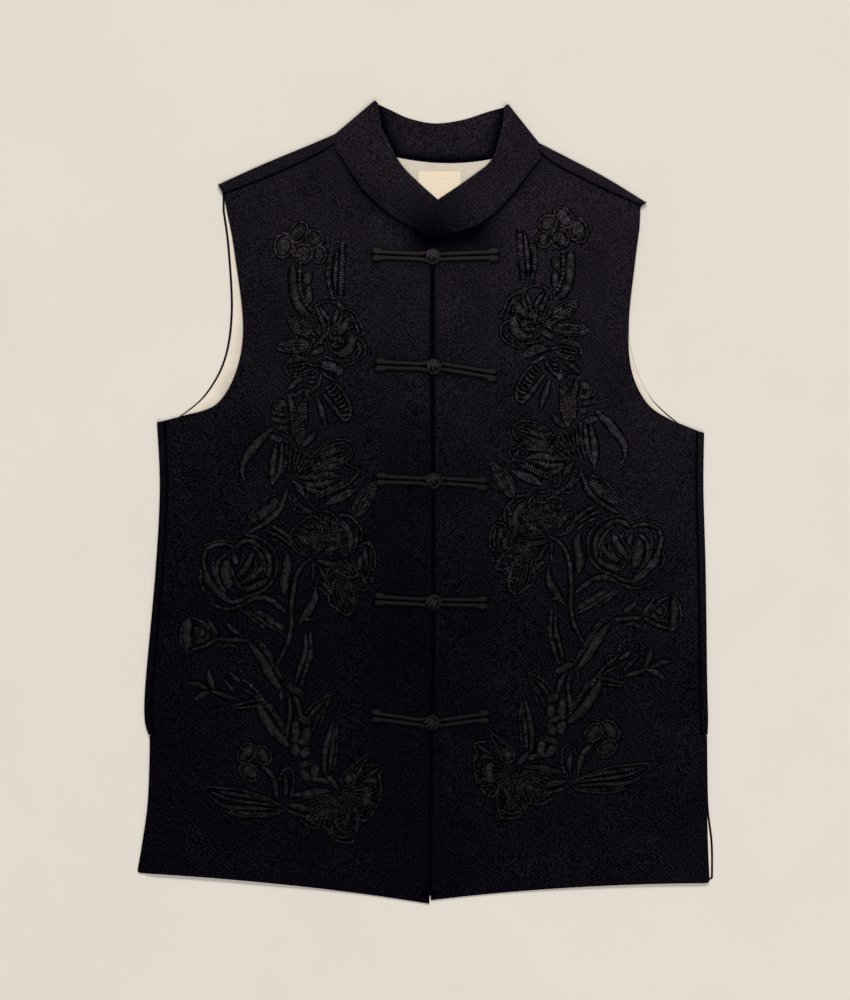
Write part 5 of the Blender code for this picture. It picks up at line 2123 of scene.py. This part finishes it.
STEMS = (
    Satin(8.4, ((-121.5, -46), (-121.5, -58), (-124, -68), (-124, -81)), BLUNT),
    Satin(4.4, ((-96, -47.5), (-103, -51), (-110, -58), (-114.5, -68), (-116.5, -80), (-118, -92),
                (-118, -104), (-119, -116), (-122, -126), (-127, -136), (-133, -146)), BLUNT),
    Satin(7.6, ((-97, -75), (-97.5, -86), (-102, -94), (-107, -101), (-113, -109))),
    Satin(2.8, ((-108, -103.5), (-100.5, -103)), BLUNT),
    Satin(5.2, ((-158, -89), (-149, -84.5), (-139, -85), (-131, -90), (-122, -98)), BLUNT),
    Satin(3.4, ((-158, -92), (-153, -98), (-146, -102.5), (-138, -108.5), (-122, -118))),
    Comb(8.0, ((-150, -98), (-143, -102.5), (-136, -108), (-128, -113)), 1, 55),
    Comb(4.4, ((-157, -96), (-150, -102), (-142, -108)), -1, 60),
    Satin(5.2, ((-105.3, -114), (-105.5, -127), (-107, -136), (-110.5, -146), (-114.5, -160))),
    Comb(6.0, ((-111, -161), (-106.5, -146), (-103, -132), (-103, -116)), -1, 42),
)

BUD = (
    Satin(8.2, ((-208, -103), (-210, -116), (-208.5, -130)), BLUNT),
    Outline(BEADED, ((-206, -100.5), (-212.5, -106), (-215.5, -116), (-214, -126), (-207, -132)), 1.3),
    Lobe((-196.5, -114.5), (7.5, 8.5)),
    Knots((-198, -122.5), (10, 5), 70),
    Satin(3.0, ((-206, -101), (-197, -105), (-191, -110), (-185.5, -117))),
    Satin(3.8, ((-207, -130), (-198, -128), (-191, -125), (-183, -120)), BLUNT),
    Outline(BEADED, ((-203, -123), (-196, -122.5), (-190, -118)), 1.1),
    Satin(4.8, ((-191.5, -102.5), (-187, -110), (-182, -117))),
    Satin(4.4, ((-182, -120.3), (-170, -121), (-156, -122)), BLUNT),
    Satin(4.8, ((-175.5, -106), (-170, -111.5), (-163, -116.5))),
    Satin(4.2, ((-181, -129.5), (-174, -125.5), (-166, -127))),
    Satin(8.6, ((-156, -123), (-149, -131), (-142, -141), (-137, -151), (-131, -160), (-124, -167))),
    Comb(4.4, ((-131, -152), (-136, -143), (-142, -133), (-148, -124)), -1, 60),
    Outline(BEADED, ((-146, -121), (-139, -130), (-132, -143), (-126, -156)), 1.1),
    Ladder(6.0, ((-128, -152), (-121, -160)), 3.4),
)

TWIGS = (
    Satin(5.0, ((-209, -159.3), (-200, -160), (-191, -165))),
    Satin(6.0, ((-191, -147.5), (-189, -156), (-186, -165))),
    Satin(6.0, ((-204, -175.5), (-197, -170), (-188, -166.5))),
    Satin(5.2, ((-189, -165.5), (-179, -169), (-165, -173.5))),
    Satin(4.4, ((-178.5, -155), (-173, -161), (-167, -168))),
    Satin(5.2, ((-173.5, -149), (-168, -154), (-162, -158))),
    Outline(CHAIN, ((-164, -143), (-162, -150)), 1.5),
    Outline(CHAIN, ((-161, -156), (-153, -161), (-147, -168), (-142, -175), (-138, -182)), 1.8),
    Outline(TWISTED, ((-164, -162), (-155, -167), (-146, -173)), 1.4),
    Outline(TWISTED, ((-169, -179), (-156, -175.5), (-144, -173.5)), 1.5),
    Outline(TWISTED, ((-167, -181), (-155, -180), (-145, -178)), 1.4),
    Satin(9.0, ((-147, -176), (-143, -186), (-137, -196), (-130, -205), (-120, -214)), BLUNT),
    Outline(TWISTED, ((-140.5, -173), (-135, -184), (-129, -193), (-123.5, -203)), 1.7),
    Outline(TWISTED, ((-136, -177), (-131, -186), (-125, -195), (-121, -203)), 1.5),
    Satin(4.6, ((-120, -171), (-119, -184), (-121, -196), (-122, -207)), BLUNT),
    Satin(6.8, ((-122, -161), (-115, -165), (-107, -169)), BLUNT),
    Satin(4.4, ((-127, -165), (-127, -175))),
    Satin(5.2, ((-115.5, -170), (-112, -178), (-110, -189)), BLUNT),
    Satin(4.0, ((-104, -191), (-97, -182), (-89, -175))),
    Outline(TWISTED, ((-106, -186), (-98, -177), (-89, -171.5), (-84, -170), (-88, -180)), 1.3),
    Outline(TWISTED, ((-98.5, -200), (-95, -190), (-87, -178)), 1.3),
    Outline(TWISTED, ((-94, -199), (-90.5, -190), (-88, -182)), 1.2),
)

PEBBLES = (
    Satin(7.4, ((-111.5, -189), (-101, -194)), BLUNT),
    Satin(8.2, ((-114.5, -193), (-114, -207.5)), BLUNT),
    Satin(9.0, ((-104.5, -198), (-104.5, -210)), BLUNT),
    Satin(5.6, ((-118, -208.5), (-109, -210.5), (-102, -213)), BLUNT),
    Satin(9.4, ((-115.5, -212.5), (-113.5, -223.5)), BLUNT),
    Satin(8.4, ((-109, -224), (-102, -215)), BLUNT),
    Satin(6.6, ((-112, -232), (-99.5, -228)), BLUNT),
    Satin(8.6, ((-97.5, -230.5), (-96.5, -242.5)), BLUNT),
    Satin(7.8, ((-110, -234.5), (-102, -244)), BLUNT),
    Satin(5.4, ((-102, -243), (-93, -243.8), (-85, -246.5)), BLUNT),
    Satin(5.8, ((-87, -239), (-82, -246), (-77, -252))),
)

LOWER_FEATHER = (
    Satin(5.8, ((-80.5, -191), (-85, -205), (-88, -218), (-89, -230), (-88, -241))),
    Comb(5.6, ((-86, -236), (-85, -222), (-83, -208), (-80, -196)), -1, 52),
    Outline(BEADED, ((-79, -194), (-77.5, -208), (-78.5, -222), (-81, -235)), 1.2),
)

TREFOIL = (
    Lobe((-157.3, -220.5), (10, 16), 42),
    Lobe((-143, -222.3), (10, 14), -38),
    Lobe((-155, -237.3), (9.5, 15), 125),
    Knots((-149.5, -229.5), (6, 6)),
    Satin(6.2, ((-144, -232), (-136, -239), (-132, -248), (-130.5, -261))),
    Satin(5.4, ((-124, -260), (-122.5, -250), (-124, -240))),
    Outline(BEADED, ((-128.5, -244), (-126, -236), (-120, -233.5), (-116, -240), (-116, -250),
                     (-119, -259)), 1.25),
)

LONG_LEAF = (
    Outline(BEADED, ((-192.5, -250), (-178, -251), (-163, -253), (-150.5, -256), (-139, -260.5),
                     (-128, -266)), 1.3),
    Comb(5.0, ((-131, -265.5), (-146, -261.8), (-160, -259.6), (-178, -256.5)), -1, 55),
    Satin(3.2, ((-190, -253.5), (-176, -260), (-160, -263), (-144, -264.8), (-128, -267))),
    Satin(4.0, ((-191, -256), (-182, -264.5), (-170, -268.3), (-155, -268.6), (-128, -270))),
    Comb(4.4, ((-128, -272), (-142, -272), (-158, -271.5), (-170, -270)), 1, 70),
    Outline(TWISTED, ((-175, -272), (-162, -275.8), (-148, -276), (-136, -275), (-126, -270)), 1.2),
    Satin(6.8, ((-119, -257.5), (-108, -256.8), (-97, -254.3), (-84, -253.5))),
    Satin(5.8, ((-122, -265.5), (-110, -268), (-98, -271))),
    Outline(BEADED, ((-121, -271), (-112, -274.5), (-101, -276.5)), 1.3),
)

LOWER_PEONY = (
    Lobe((-68.3, -243.3), (8.5, 8.5)),
    Outline(TWISTED, ((-73, -237), (-66, -233), (-60, -228), (-51, -221)), 1.4),
    Outline(TWISTED, ((-60, -241), (-57, -233), (-51.5, -224)), 1.3),
    Outline(BEADED, ((-53, -231), (-45, -230.8), (-37, -233)), 1.3),
    Satin(3.8, ((-54, -242), (-48, -238.5), (-41, -233.5))),
    Satin(3.8, ((-57, -246.5), (-49, -244), (-41.5, -246))),
    Outline(BEADED, ((-38, -235), (-41, -240.5), (-39, -248), (-40, -258), (-42, -267)), 1.4),
    Satin(8.0, ((-52.5, -250), (-52, -258), (-54, -267)), BLUNT),
    Fan((-77, -255), (4, 23), (72, 192), 12, 1.1),
    Fan((-78, -256), (4, 29), (196, 262), 9, 1.1),
    Fan((-78, -256), (24, 33), (166, 240), 11),
    Fan((-74, -246), (6, 20), (28, 70), 5),
    Knots((-75, -269), (44, 26)),
    Knots((-48, -256), (16, 38)),
    Knots((-70, -288), (20, 14)),
    Knots((-45, -246), (8, 9)),
    Knots((-60, -283), (5, 15)),
    Knots((-45, -267), (7, 9), 30),
    Satin(4.6, ((-99, -276.5), (-92, -273.5), (-83, -270.5))),
    Outline(TWISTED, ((-110, -279), (-103, -284.5), (-95, -286.5), (-88, -285.5), (-84, -291),
                      (-79, -297), (-70, -299), (-62, -298)), 1.5),
    Outline(BEADED, ((-106, -277), (-98, -282)), 1.1),
    Outline(BEADED, ((-84, -286), (-79, -293), (-71, -294.5), (-65, -292)), 1.2),
    Satin(4.0, ((-63, -269), (-68, -276), (-72, -286))),
    Outline(BEADED, ((-62, -268), (-60, -277), (-60.5, -288), (-63, -297)), 1.4),
    Outline(BEADED, ((-78, -270), (-79, -280), (-76, -288), (-69, -290)), 1.2),
    Outline(BEADED, ((-61, -273), (-56, -279.5), (-50, -277.5), (-45, -271)), 1.3),
)

SPRAY = {
    "flowers": (BLOSSOM, UPPER_PEONY, LILY, MIDDLE_PEONY, ROSE, TREFOIL, LOWER_PEONY),
    "leaves": (TOP_FEATHER, UPPER_LEAVES, MIDDLE_FEATHER, STEMS, BUD, TWIGS, PEBBLES,
               LOWER_FEATHER, LONG_LEAF),
}

# Where the other front's spray lies: by height, how far it is moved from a plain reflection.
MIRROR_X = 4.6
MIRROR_HEIGHTS = (-270.0, -150.0, 0.0, 120.0, 222.0)
MIRROR_ACROSS = (-6.5, -2.0, 5.0, 4.0, 0.0)
MIRROR_UP = (21.0, 19.0, 17.0, 15.0, 13.0)


def on_left_front(plan: np.ndarray) -> np.ndarray:
    """Reflect the spray's places on to the wearer's left front."""
    across = np.interp(plan[:, 1], MIRROR_HEIGHTS, MIRROR_ACROSS)
    up = np.interp(plan[:, 1], MIRROR_HEIGHTS, MIRROR_UP)
    return np.column_stack((2.0 * MIRROR_X - plan[:, 0] + across, plan[:, 1] + up))


@dataclass(frozen=True)
class Embroidery:
    """Both sprays of raised flowers, each in two pieces, and the dark strips painted in shade beside them.
    """

    def build(self, thread: bpy.types.Material, wool: bpy.types.Material) -> None:
        """Work both sprays."""
        stitchers = {
            "right_front": Stitcher(lambda plan: plan),
            "left_front": Stitcher(on_left_front),
        }
        for front, stitcher in stitchers.items():
            ground = Bodies()
            for part, groups in SPRAY.items():
                work = Work(ground=ground)
                for motifs in groups:
                    stitcher.work(work, motifs)
                dress(work.threads.piece(f"{front}_{part}", thread), "embroidery")
            # The dark strips beside the stitches, painted in shade as their shadow.
            dress(ground.piece(f"{front}_painted_shadow_cloth", wool), "wool")


# ---------------------------------------------------------------- frog closures

@dataclass(frozen=True)
class Frog:
    """One frog: a looped cord, a button cord and a ball, knotted from the same cord, in the loop.

    The ball's turns lie side by side at the given shares of its half width, aslant by the twist,
    in degrees; one more turn crosses them, from where it rises out of the ball to its far side.
    """

    number: int
    knot: tuple[float, float]
    loop_end: tuple[float, float]
    cord_end: tuple[float, float]
    ball_place: tuple[float, float]
    twist: float
    radius: float = 2.0
    height_share: float = 0.9
    bed_share: float = 0.86
    spread: float = 2.55
    step: float = 0.7
    pinch: float = 0.04
    pinch_pace: float = 1.3
    tail_gap: float = 1.2
    tuck_swell: float = 0.36
    tuck_lift: float = 0.5
    tuck_length: float = 3.0
    tuck_fade: float = 7.0
    under_fade: float = 4.0
    loop_radius: float = 5.5
    loop_opening: float = 140.0
    bend_gap: float = 1.0
    tube_sides: int = 12
    ball_width: float = 3.9
    ball_height: float = 4.1
    ball_squash: float = 0.75
    ball_clearance: float = 0.8
    ball_cord: float = 1.5
    ball_turns: tuple[float, ...] = (-0.84, 0.0, 0.84)
    ball_splay: float = 9.0
    ball_steps: int = 40
    across_share: float = 0.2
    across_twist: float = 66.0
    across_over: float = 0.9
    across_under: float = 1.6
    across_span: tuple[float, float] = (48.0, 190.0)
    across_rise: float = 0.8
    tucked_shape: tuple[tuple[float, float], ...] = (
        (0.0, 0.0), (1.3, 0.15), (2.1, 0.7), (1.5, 1.25), (0.0, 1.35), (-2.5, 1.3), (-5.0, 0.9))

    def sides(self) -> np.ndarray:
        """Where each corner of a tube's ring lies round it, from one side over the top."""
        return np.linspace(0.0, math.tau, self.tube_sides + 1)[:-1]

    def tube(self, name: str, plan: np.ndarray, lift: np.ndarray, rouleau: bpy.types.Material,
             ) -> bpy.types.Object:
        """Lay a fabric tube along a line in plan, on the fronts.

        Args:
            name: the cord's name, after the frog's.
            plan: the line.
            lift: how far above the fronts it lies at each point of the line.
            rouleau: its finish.

        Returns:
            The tube's piece.
        """
        line = even_line(np.column_stack((plan, lift)), self.step)
        reach, angle = reach_of(line), self.sides()
        _, right = directions(line[:, :2])
        swell = (1.0 + self.pinch * np.sin(reach[:, None] * self.pinch_pace + self.number)
                 + self.tuck_swell * line[:, 2:])
        aside = -np.cos(angle) * self.radius * swell
        above = np.sin(angle) * self.radius * self.height_share * swell
        places = line[:, None, :2] + right[:, None, :] * aside[:, :, None]
        base = cloth_top(line[:, 0], line[:, 1]) + self.radius * self.bed_share + line[:, 2]
        # The tube's sides and underside are painted in shade.
        shade_and_tone = np.broadcast_to(in_shade(angle, 1.35, 1.5), above.shape)
        around = np.repeat((angle * self.radius)[None, :], len(line), axis=0)
        bodies = Bodies()
        bodies.add(np.dstack((places, base[:, None] + above, shade_and_tone)), reach, around)
        return bodies.piece(f"frog_{self.number}_{name}", rouleau)

    def strap(self, end: np.ndarray, neck: np.ndarray, up: float) -> np.ndarray:
        """Plan of one cord of a strap, from its tucked end to the knot."""
        rise = np.array((0.0, self.spread * up))
        outwards = math.copysign(1.0, end[0] - neck[0])
        start = end + rise - np.array((outwards * self.tail_gap, 0.0))
        tail = start + np.array(self.tucked_shape[::-1]) * (outwards, up)
        middle = [end + rise * (1.0 - 0.12 * share) + (neck - end) * share
                  for share in (0.12, 0.35, 0.65, 0.9)]
        return np.vstack((tail, middle))

    def strap_line(self, end: np.ndarray, neck: np.ndarray, turn: np.ndarray) -> np.ndarray:
        """Plan of a doubled cord: along its upper run, round the turn and back."""
        upper, lower = self.strap(end, neck, 1.0), self.strap(end, neck, -1.0)[::-1]
        return smooth_line(np.vstack((upper, turn, lower)), 5)

    def end_lift(self, plan: np.ndarray, end: np.ndarray) -> np.ndarray:
        """Lift the cord a little where its tail is tucked against it."""
        away = np.hypot(plan[:, 0] - end[0], plan[:, 1] - end[1])
        return self.tuck_lift * (1.0 - smoothstep((away - self.tuck_length) / self.tuck_fade))

    def build_loop(self, rouleau: bpy.types.Material) -> bpy.types.Object:
        """Make the looped cord."""
        knot, end = np.array(self.knot), np.array(self.loop_end)
        neck = knot - np.array((self.loop_radius + self.spread, 0.0))
        turn = np.radians(np.linspace(self.loop_opening, -self.loop_opening, 15))
        ring = knot + np.column_stack((np.cos(turn), np.sin(turn))) * self.loop_radius
        plan = self.strap_line(end, neck, ring)
        piece = self.tube("loop_cord", plan, self.end_lift(plan, end), rouleau)
        return dress(piece, "rouleau", f"frog_{self.number}_loop")

    def build_button_cord(self, rouleau: bpy.types.Material) -> bpy.types.Object:
        """Make the button's cord, which comes out from under the loop."""
        knot, end = np.array(self.knot), np.array(self.cord_end)
        bend = knot + np.array((self.loop_radius + self.radius + self.bend_gap, 0.0))
        turn = np.radians(np.linspace(90.0, 270.0, 7))
        ring = bend + np.column_stack((np.cos(turn), np.sin(turn))) * self.spread
        plan = self.strap_line(end, bend, ring)
        under = self.tuck_lift * (1.0 - smoothstep((plan[:, 0] - bend[0]) / self.under_fade))
        piece = self.tube("strap_cord", plan, self.end_lift(plan, end) - under, rouleau)
        return dress(piece, "rouleau", f"frog_{self.number}_button_cord")

    def add_turn(self, bodies: Bodies, middle: np.ndarray, share: float, twist: float,
                 over: float = 0.0) -> None:
        """Wind one turn of cord round the ball, or lay one over its top.

        Args:
            bodies: what the turn is added to.
            middle: the ball's middle.
            share: how far the turn lies from the middle, as a share of the ball's half width.
            twist: the turn's direction in plan, in degrees from up and down.
            over: how far a turn across the others stands out; 0 for a turn that goes all round.
        """
        turn = np.linspace(0.0, math.tau, self.ball_steps, endpoint=False)
        if over:
            turn = np.radians(np.linspace(*self.across_span, self.ball_steps // 2))
        angle = self.sides()
        radius = self.ball_height * math.sqrt(1.0 - 0.5 * share ** 2)
        laid_over = smoothstep((turn - turn[0]) / self.across_rise)
        out = radius + over * ((1.0 + self.across_under) * laid_over - self.across_under)
        tube = out[:, None] + np.sin(angle)[None, :] * self.ball_cord
        up = np.cos(turn)[:, None] * tube
        across = np.broadcast_to(share * self.ball_width + np.cos(angle) * self.ball_cord, up.shape)
        cosine, sine = math.cos(math.radians(twist)), math.sin(math.radians(twist))
        x, y = across * cosine - up * sine, across * sine + up * cosine
        z = np.sin(turn)[:, None] * tube * self.ball_squash
        # Each turn's sides are painted in shade, and the ball's lower half is painted darker as painted
        # shadow.
        shade_and_tone = in_shade(angle, 1.15, 1.6) + np.clip(-0.12 * y, 0.0, 0.6)
        rings = np.dstack((x, y, z, np.minimum(1.0, shade_and_tone)))
        rings[..., :3] += middle
        around = np.repeat((angle * self.ball_cord)[None, :], len(turn), axis=0)
        bodies.add(rings[::-1], turn * radius, around, closed=not over)

    def add_core(self, bodies: Bodies, middle: np.ndarray) -> None:
        """Fill the ball, so that nothing shows between its turns."""
        latitude = np.radians(np.linspace(-84.0, 84.0, 11))
        angle = np.linspace(0.0, math.tau, 17)[:-1]
        ring = np.stack((np.cos(angle) * self.ball_width, np.sin(angle) * self.ball_height), axis=1)
        rise = np.sin(latitude) * self.ball_height * self.ball_squash
        rings = [np.column_stack((ring * math.cos(level), np.full(len(angle), height)))
                 for level, height in zip(latitude, rise)]
        around = np.repeat((angle * self.ball_height)[None, :], len(latitude), axis=0)
        # The core is painted in full shade, as the shadow between the turns.
        core = np.dstack((middle + np.array(rings), np.ones(around.shape)))
        bodies.add(core, latitude * self.ball_height, around)

    def build_knot(self, highlit_rouleau: bpy.types.Material) -> bpy.types.Object:
        """Wind the ball: turns of one cord side by side round a core, and one across them."""
        rise = cloth_top(*self.knot) + self.ball_height * self.ball_squash + self.ball_clearance
        middle = np.array((*np.add(self.knot, self.ball_place), float(rise)))
        bodies = Bodies()
        for share in self.ball_turns:
            self.add_turn(bodies, middle, share, self.twist + self.ball_splay * share)
        self.add_turn(bodies, middle, self.across_share, self.twist + self.across_twist,
                      self.across_over)
        self.add_core(bodies, middle)
        # The ball takes the lighter copy of the rouleau, as a painted highlight.
        piece = bodies.piece(f"frog_{self.number}_knot_ball", highlit_rouleau)
        return dress(piece, "rouleau", f"frog_{self.number}_knot")

    def build(self, rouleau: bpy.types.Material, highlit_rouleau: bpy.types.Material) -> None:
        """Make the three pieces of the frog."""
        self.build_loop(rouleau)
        self.build_button_cord(rouleau)
        self.build_knot(highlit_rouleau)


FROGS = (
    Frog(1, (6.2, 215.6), (-44.7, 217.4), (61.8, 217.2), (-0.9, 0.7), -6.0),
    Frog(2, (6.6, 119.0), (-42.1, 120.6), (59.6, 111.6), (-0.9, 0.7), 14.0),
    Frog(3, (6.8, 18.6), (-41.2, 20.2), (51.6, 16.0), (-1.5, 0.6), 42.0),
    Frog(4, (7.0, -87.9), (-42.9, -85.3), (51.8, -88.3), (-2.2, -0.8), -32.0),
    Frog(5, (5.2, -193.8), (-45.4, -187.6), (53.2, -188.2), (-2.0, -0.6), -48.0),
)


# ---------------------------------------------------------------- stage

@dataclass(frozen=True)
class SoftBox:
    """A soft box that faces the garment; its place and its size are in metres."""

    name: str
    place: tuple[float, float, float]
    size: tuple[float, float]
    watts: float
    colour: str

    def build(self) -> None:
        """Hang it."""
        light = bpy.data.lights.new(self.name, "AREA")
        light.shape = "RECTANGLE"
        light.size, light.size_y = self.size
        light.energy = self.watts
        light.color = to_linear(self.colour)[:3]
        lamp = bpy.data.objects.new(self.name, light)
        lamp.location = self.place
        x, y, z = self.place
        lamp.rotation_euler = (math.atan2(math.hypot(x, y), z), 0.0, math.atan2(x, -y))
        bpy.context.collection.objects.link(lamp)


@dataclass(frozen=True)
class Stage:
    """A pale board, soft studio light from beyond the collar, and a camera straight above."""

    lights: tuple[SoftBox, ...] = (
        SoftBox("top_softbox", (0.3, 5.4, 7.0), (3.4, 2.0), 455.0, "#FFFAF4"),
        SoftBox("overhead_softbox", (0.4, -1.2, 3.9), (2.2, 2.2), 68.0, "#FFFFFF"))
    surroundings: str = "#F2F1F4"
    surroundings_strength: float = 0.26
    view_height: float = 880.0
    view_centre: tuple[float, float] = (-0.70, 1.76)
    lens: float = 85.0
    sensor: float = 24.0
    board: float = 4000.0
    board_gap: float = 0.1

    def build_board(self) -> None:
        """Lay the board that the garment lies on."""
        around = ((-0.5, -0.5), (0.5, -0.5), (0.5, 0.5), (-0.5, 0.5))
        corners = np.array([(x * self.board, y * self.board, -self.board_gap) for x, y in around])
        new_piece("pale_board", corners, [(0, 1, 2, 3)], BOARD.build())

    def build_camera(self) -> None:
        """Hang the camera straight above, with the garment framed upright."""
        data = bpy.data.cameras.new("overhead")
        data.sensor_fit = "VERTICAL"
        data.sensor_height = self.sensor
        data.lens = self.lens
        camera = bpy.data.objects.new("overhead", data)
        height = self.view_height * self.lens / self.sensor * MM
        camera.location = (self.view_centre[0] * MM, self.view_centre[1] * MM, height)
        bpy.context.collection.objects.link(camera)
        bpy.context.scene.camera = camera

    def build(self) -> None:
        """Set the stage."""
        self.build_board()
        for light in self.lights:
            light.build()
        world = bpy.data.worlds.new("studio")
        world.use_nodes = True
        background = world.node_tree.nodes["Background"]
        background.inputs["Color"].default_value = to_linear(self.surroundings)
        background.inputs["Strength"].default_value = self.surroundings_strength
        bpy.context.scene.world = world
        bpy.context.scene.view_settings.view_transform = "Standard"
        self.build_camera()


def main() -> None:
    """Build the waistcoat's pieces in order, then the stage."""
    logging.basicConfig(level=logging.INFO, format="%(name)s: %(message)s")
    wool = WOOL.build()
    rouleau, highlit_rouleau = ROULEAU.build(), HIGHLIT_ROULEAU.build()
    Back().build(wool)
    Lining().build(SATEEN.build())
    NeckLabel().build(LABEL.build())
    ShadedUnderlap().build(wool)
    Front("right_front", RIGHT_SIDE, 1.0, area=0.1355, shaded_rows=2, centre_dark=0.45).build(wool)
    Front("left_front", LEFT_SIDE, -1.0, area=0.132, shaded_rows=7, centre_dark=0.26).build(wool)
    Collar().build(wool)
    for frog in FROGS:
        frog.build(rouleau, highlit_rouleau)
    Embroidery().build(THREAD.build(), wool)
    Stage().build()


if __name__ == "__main__":
    main()
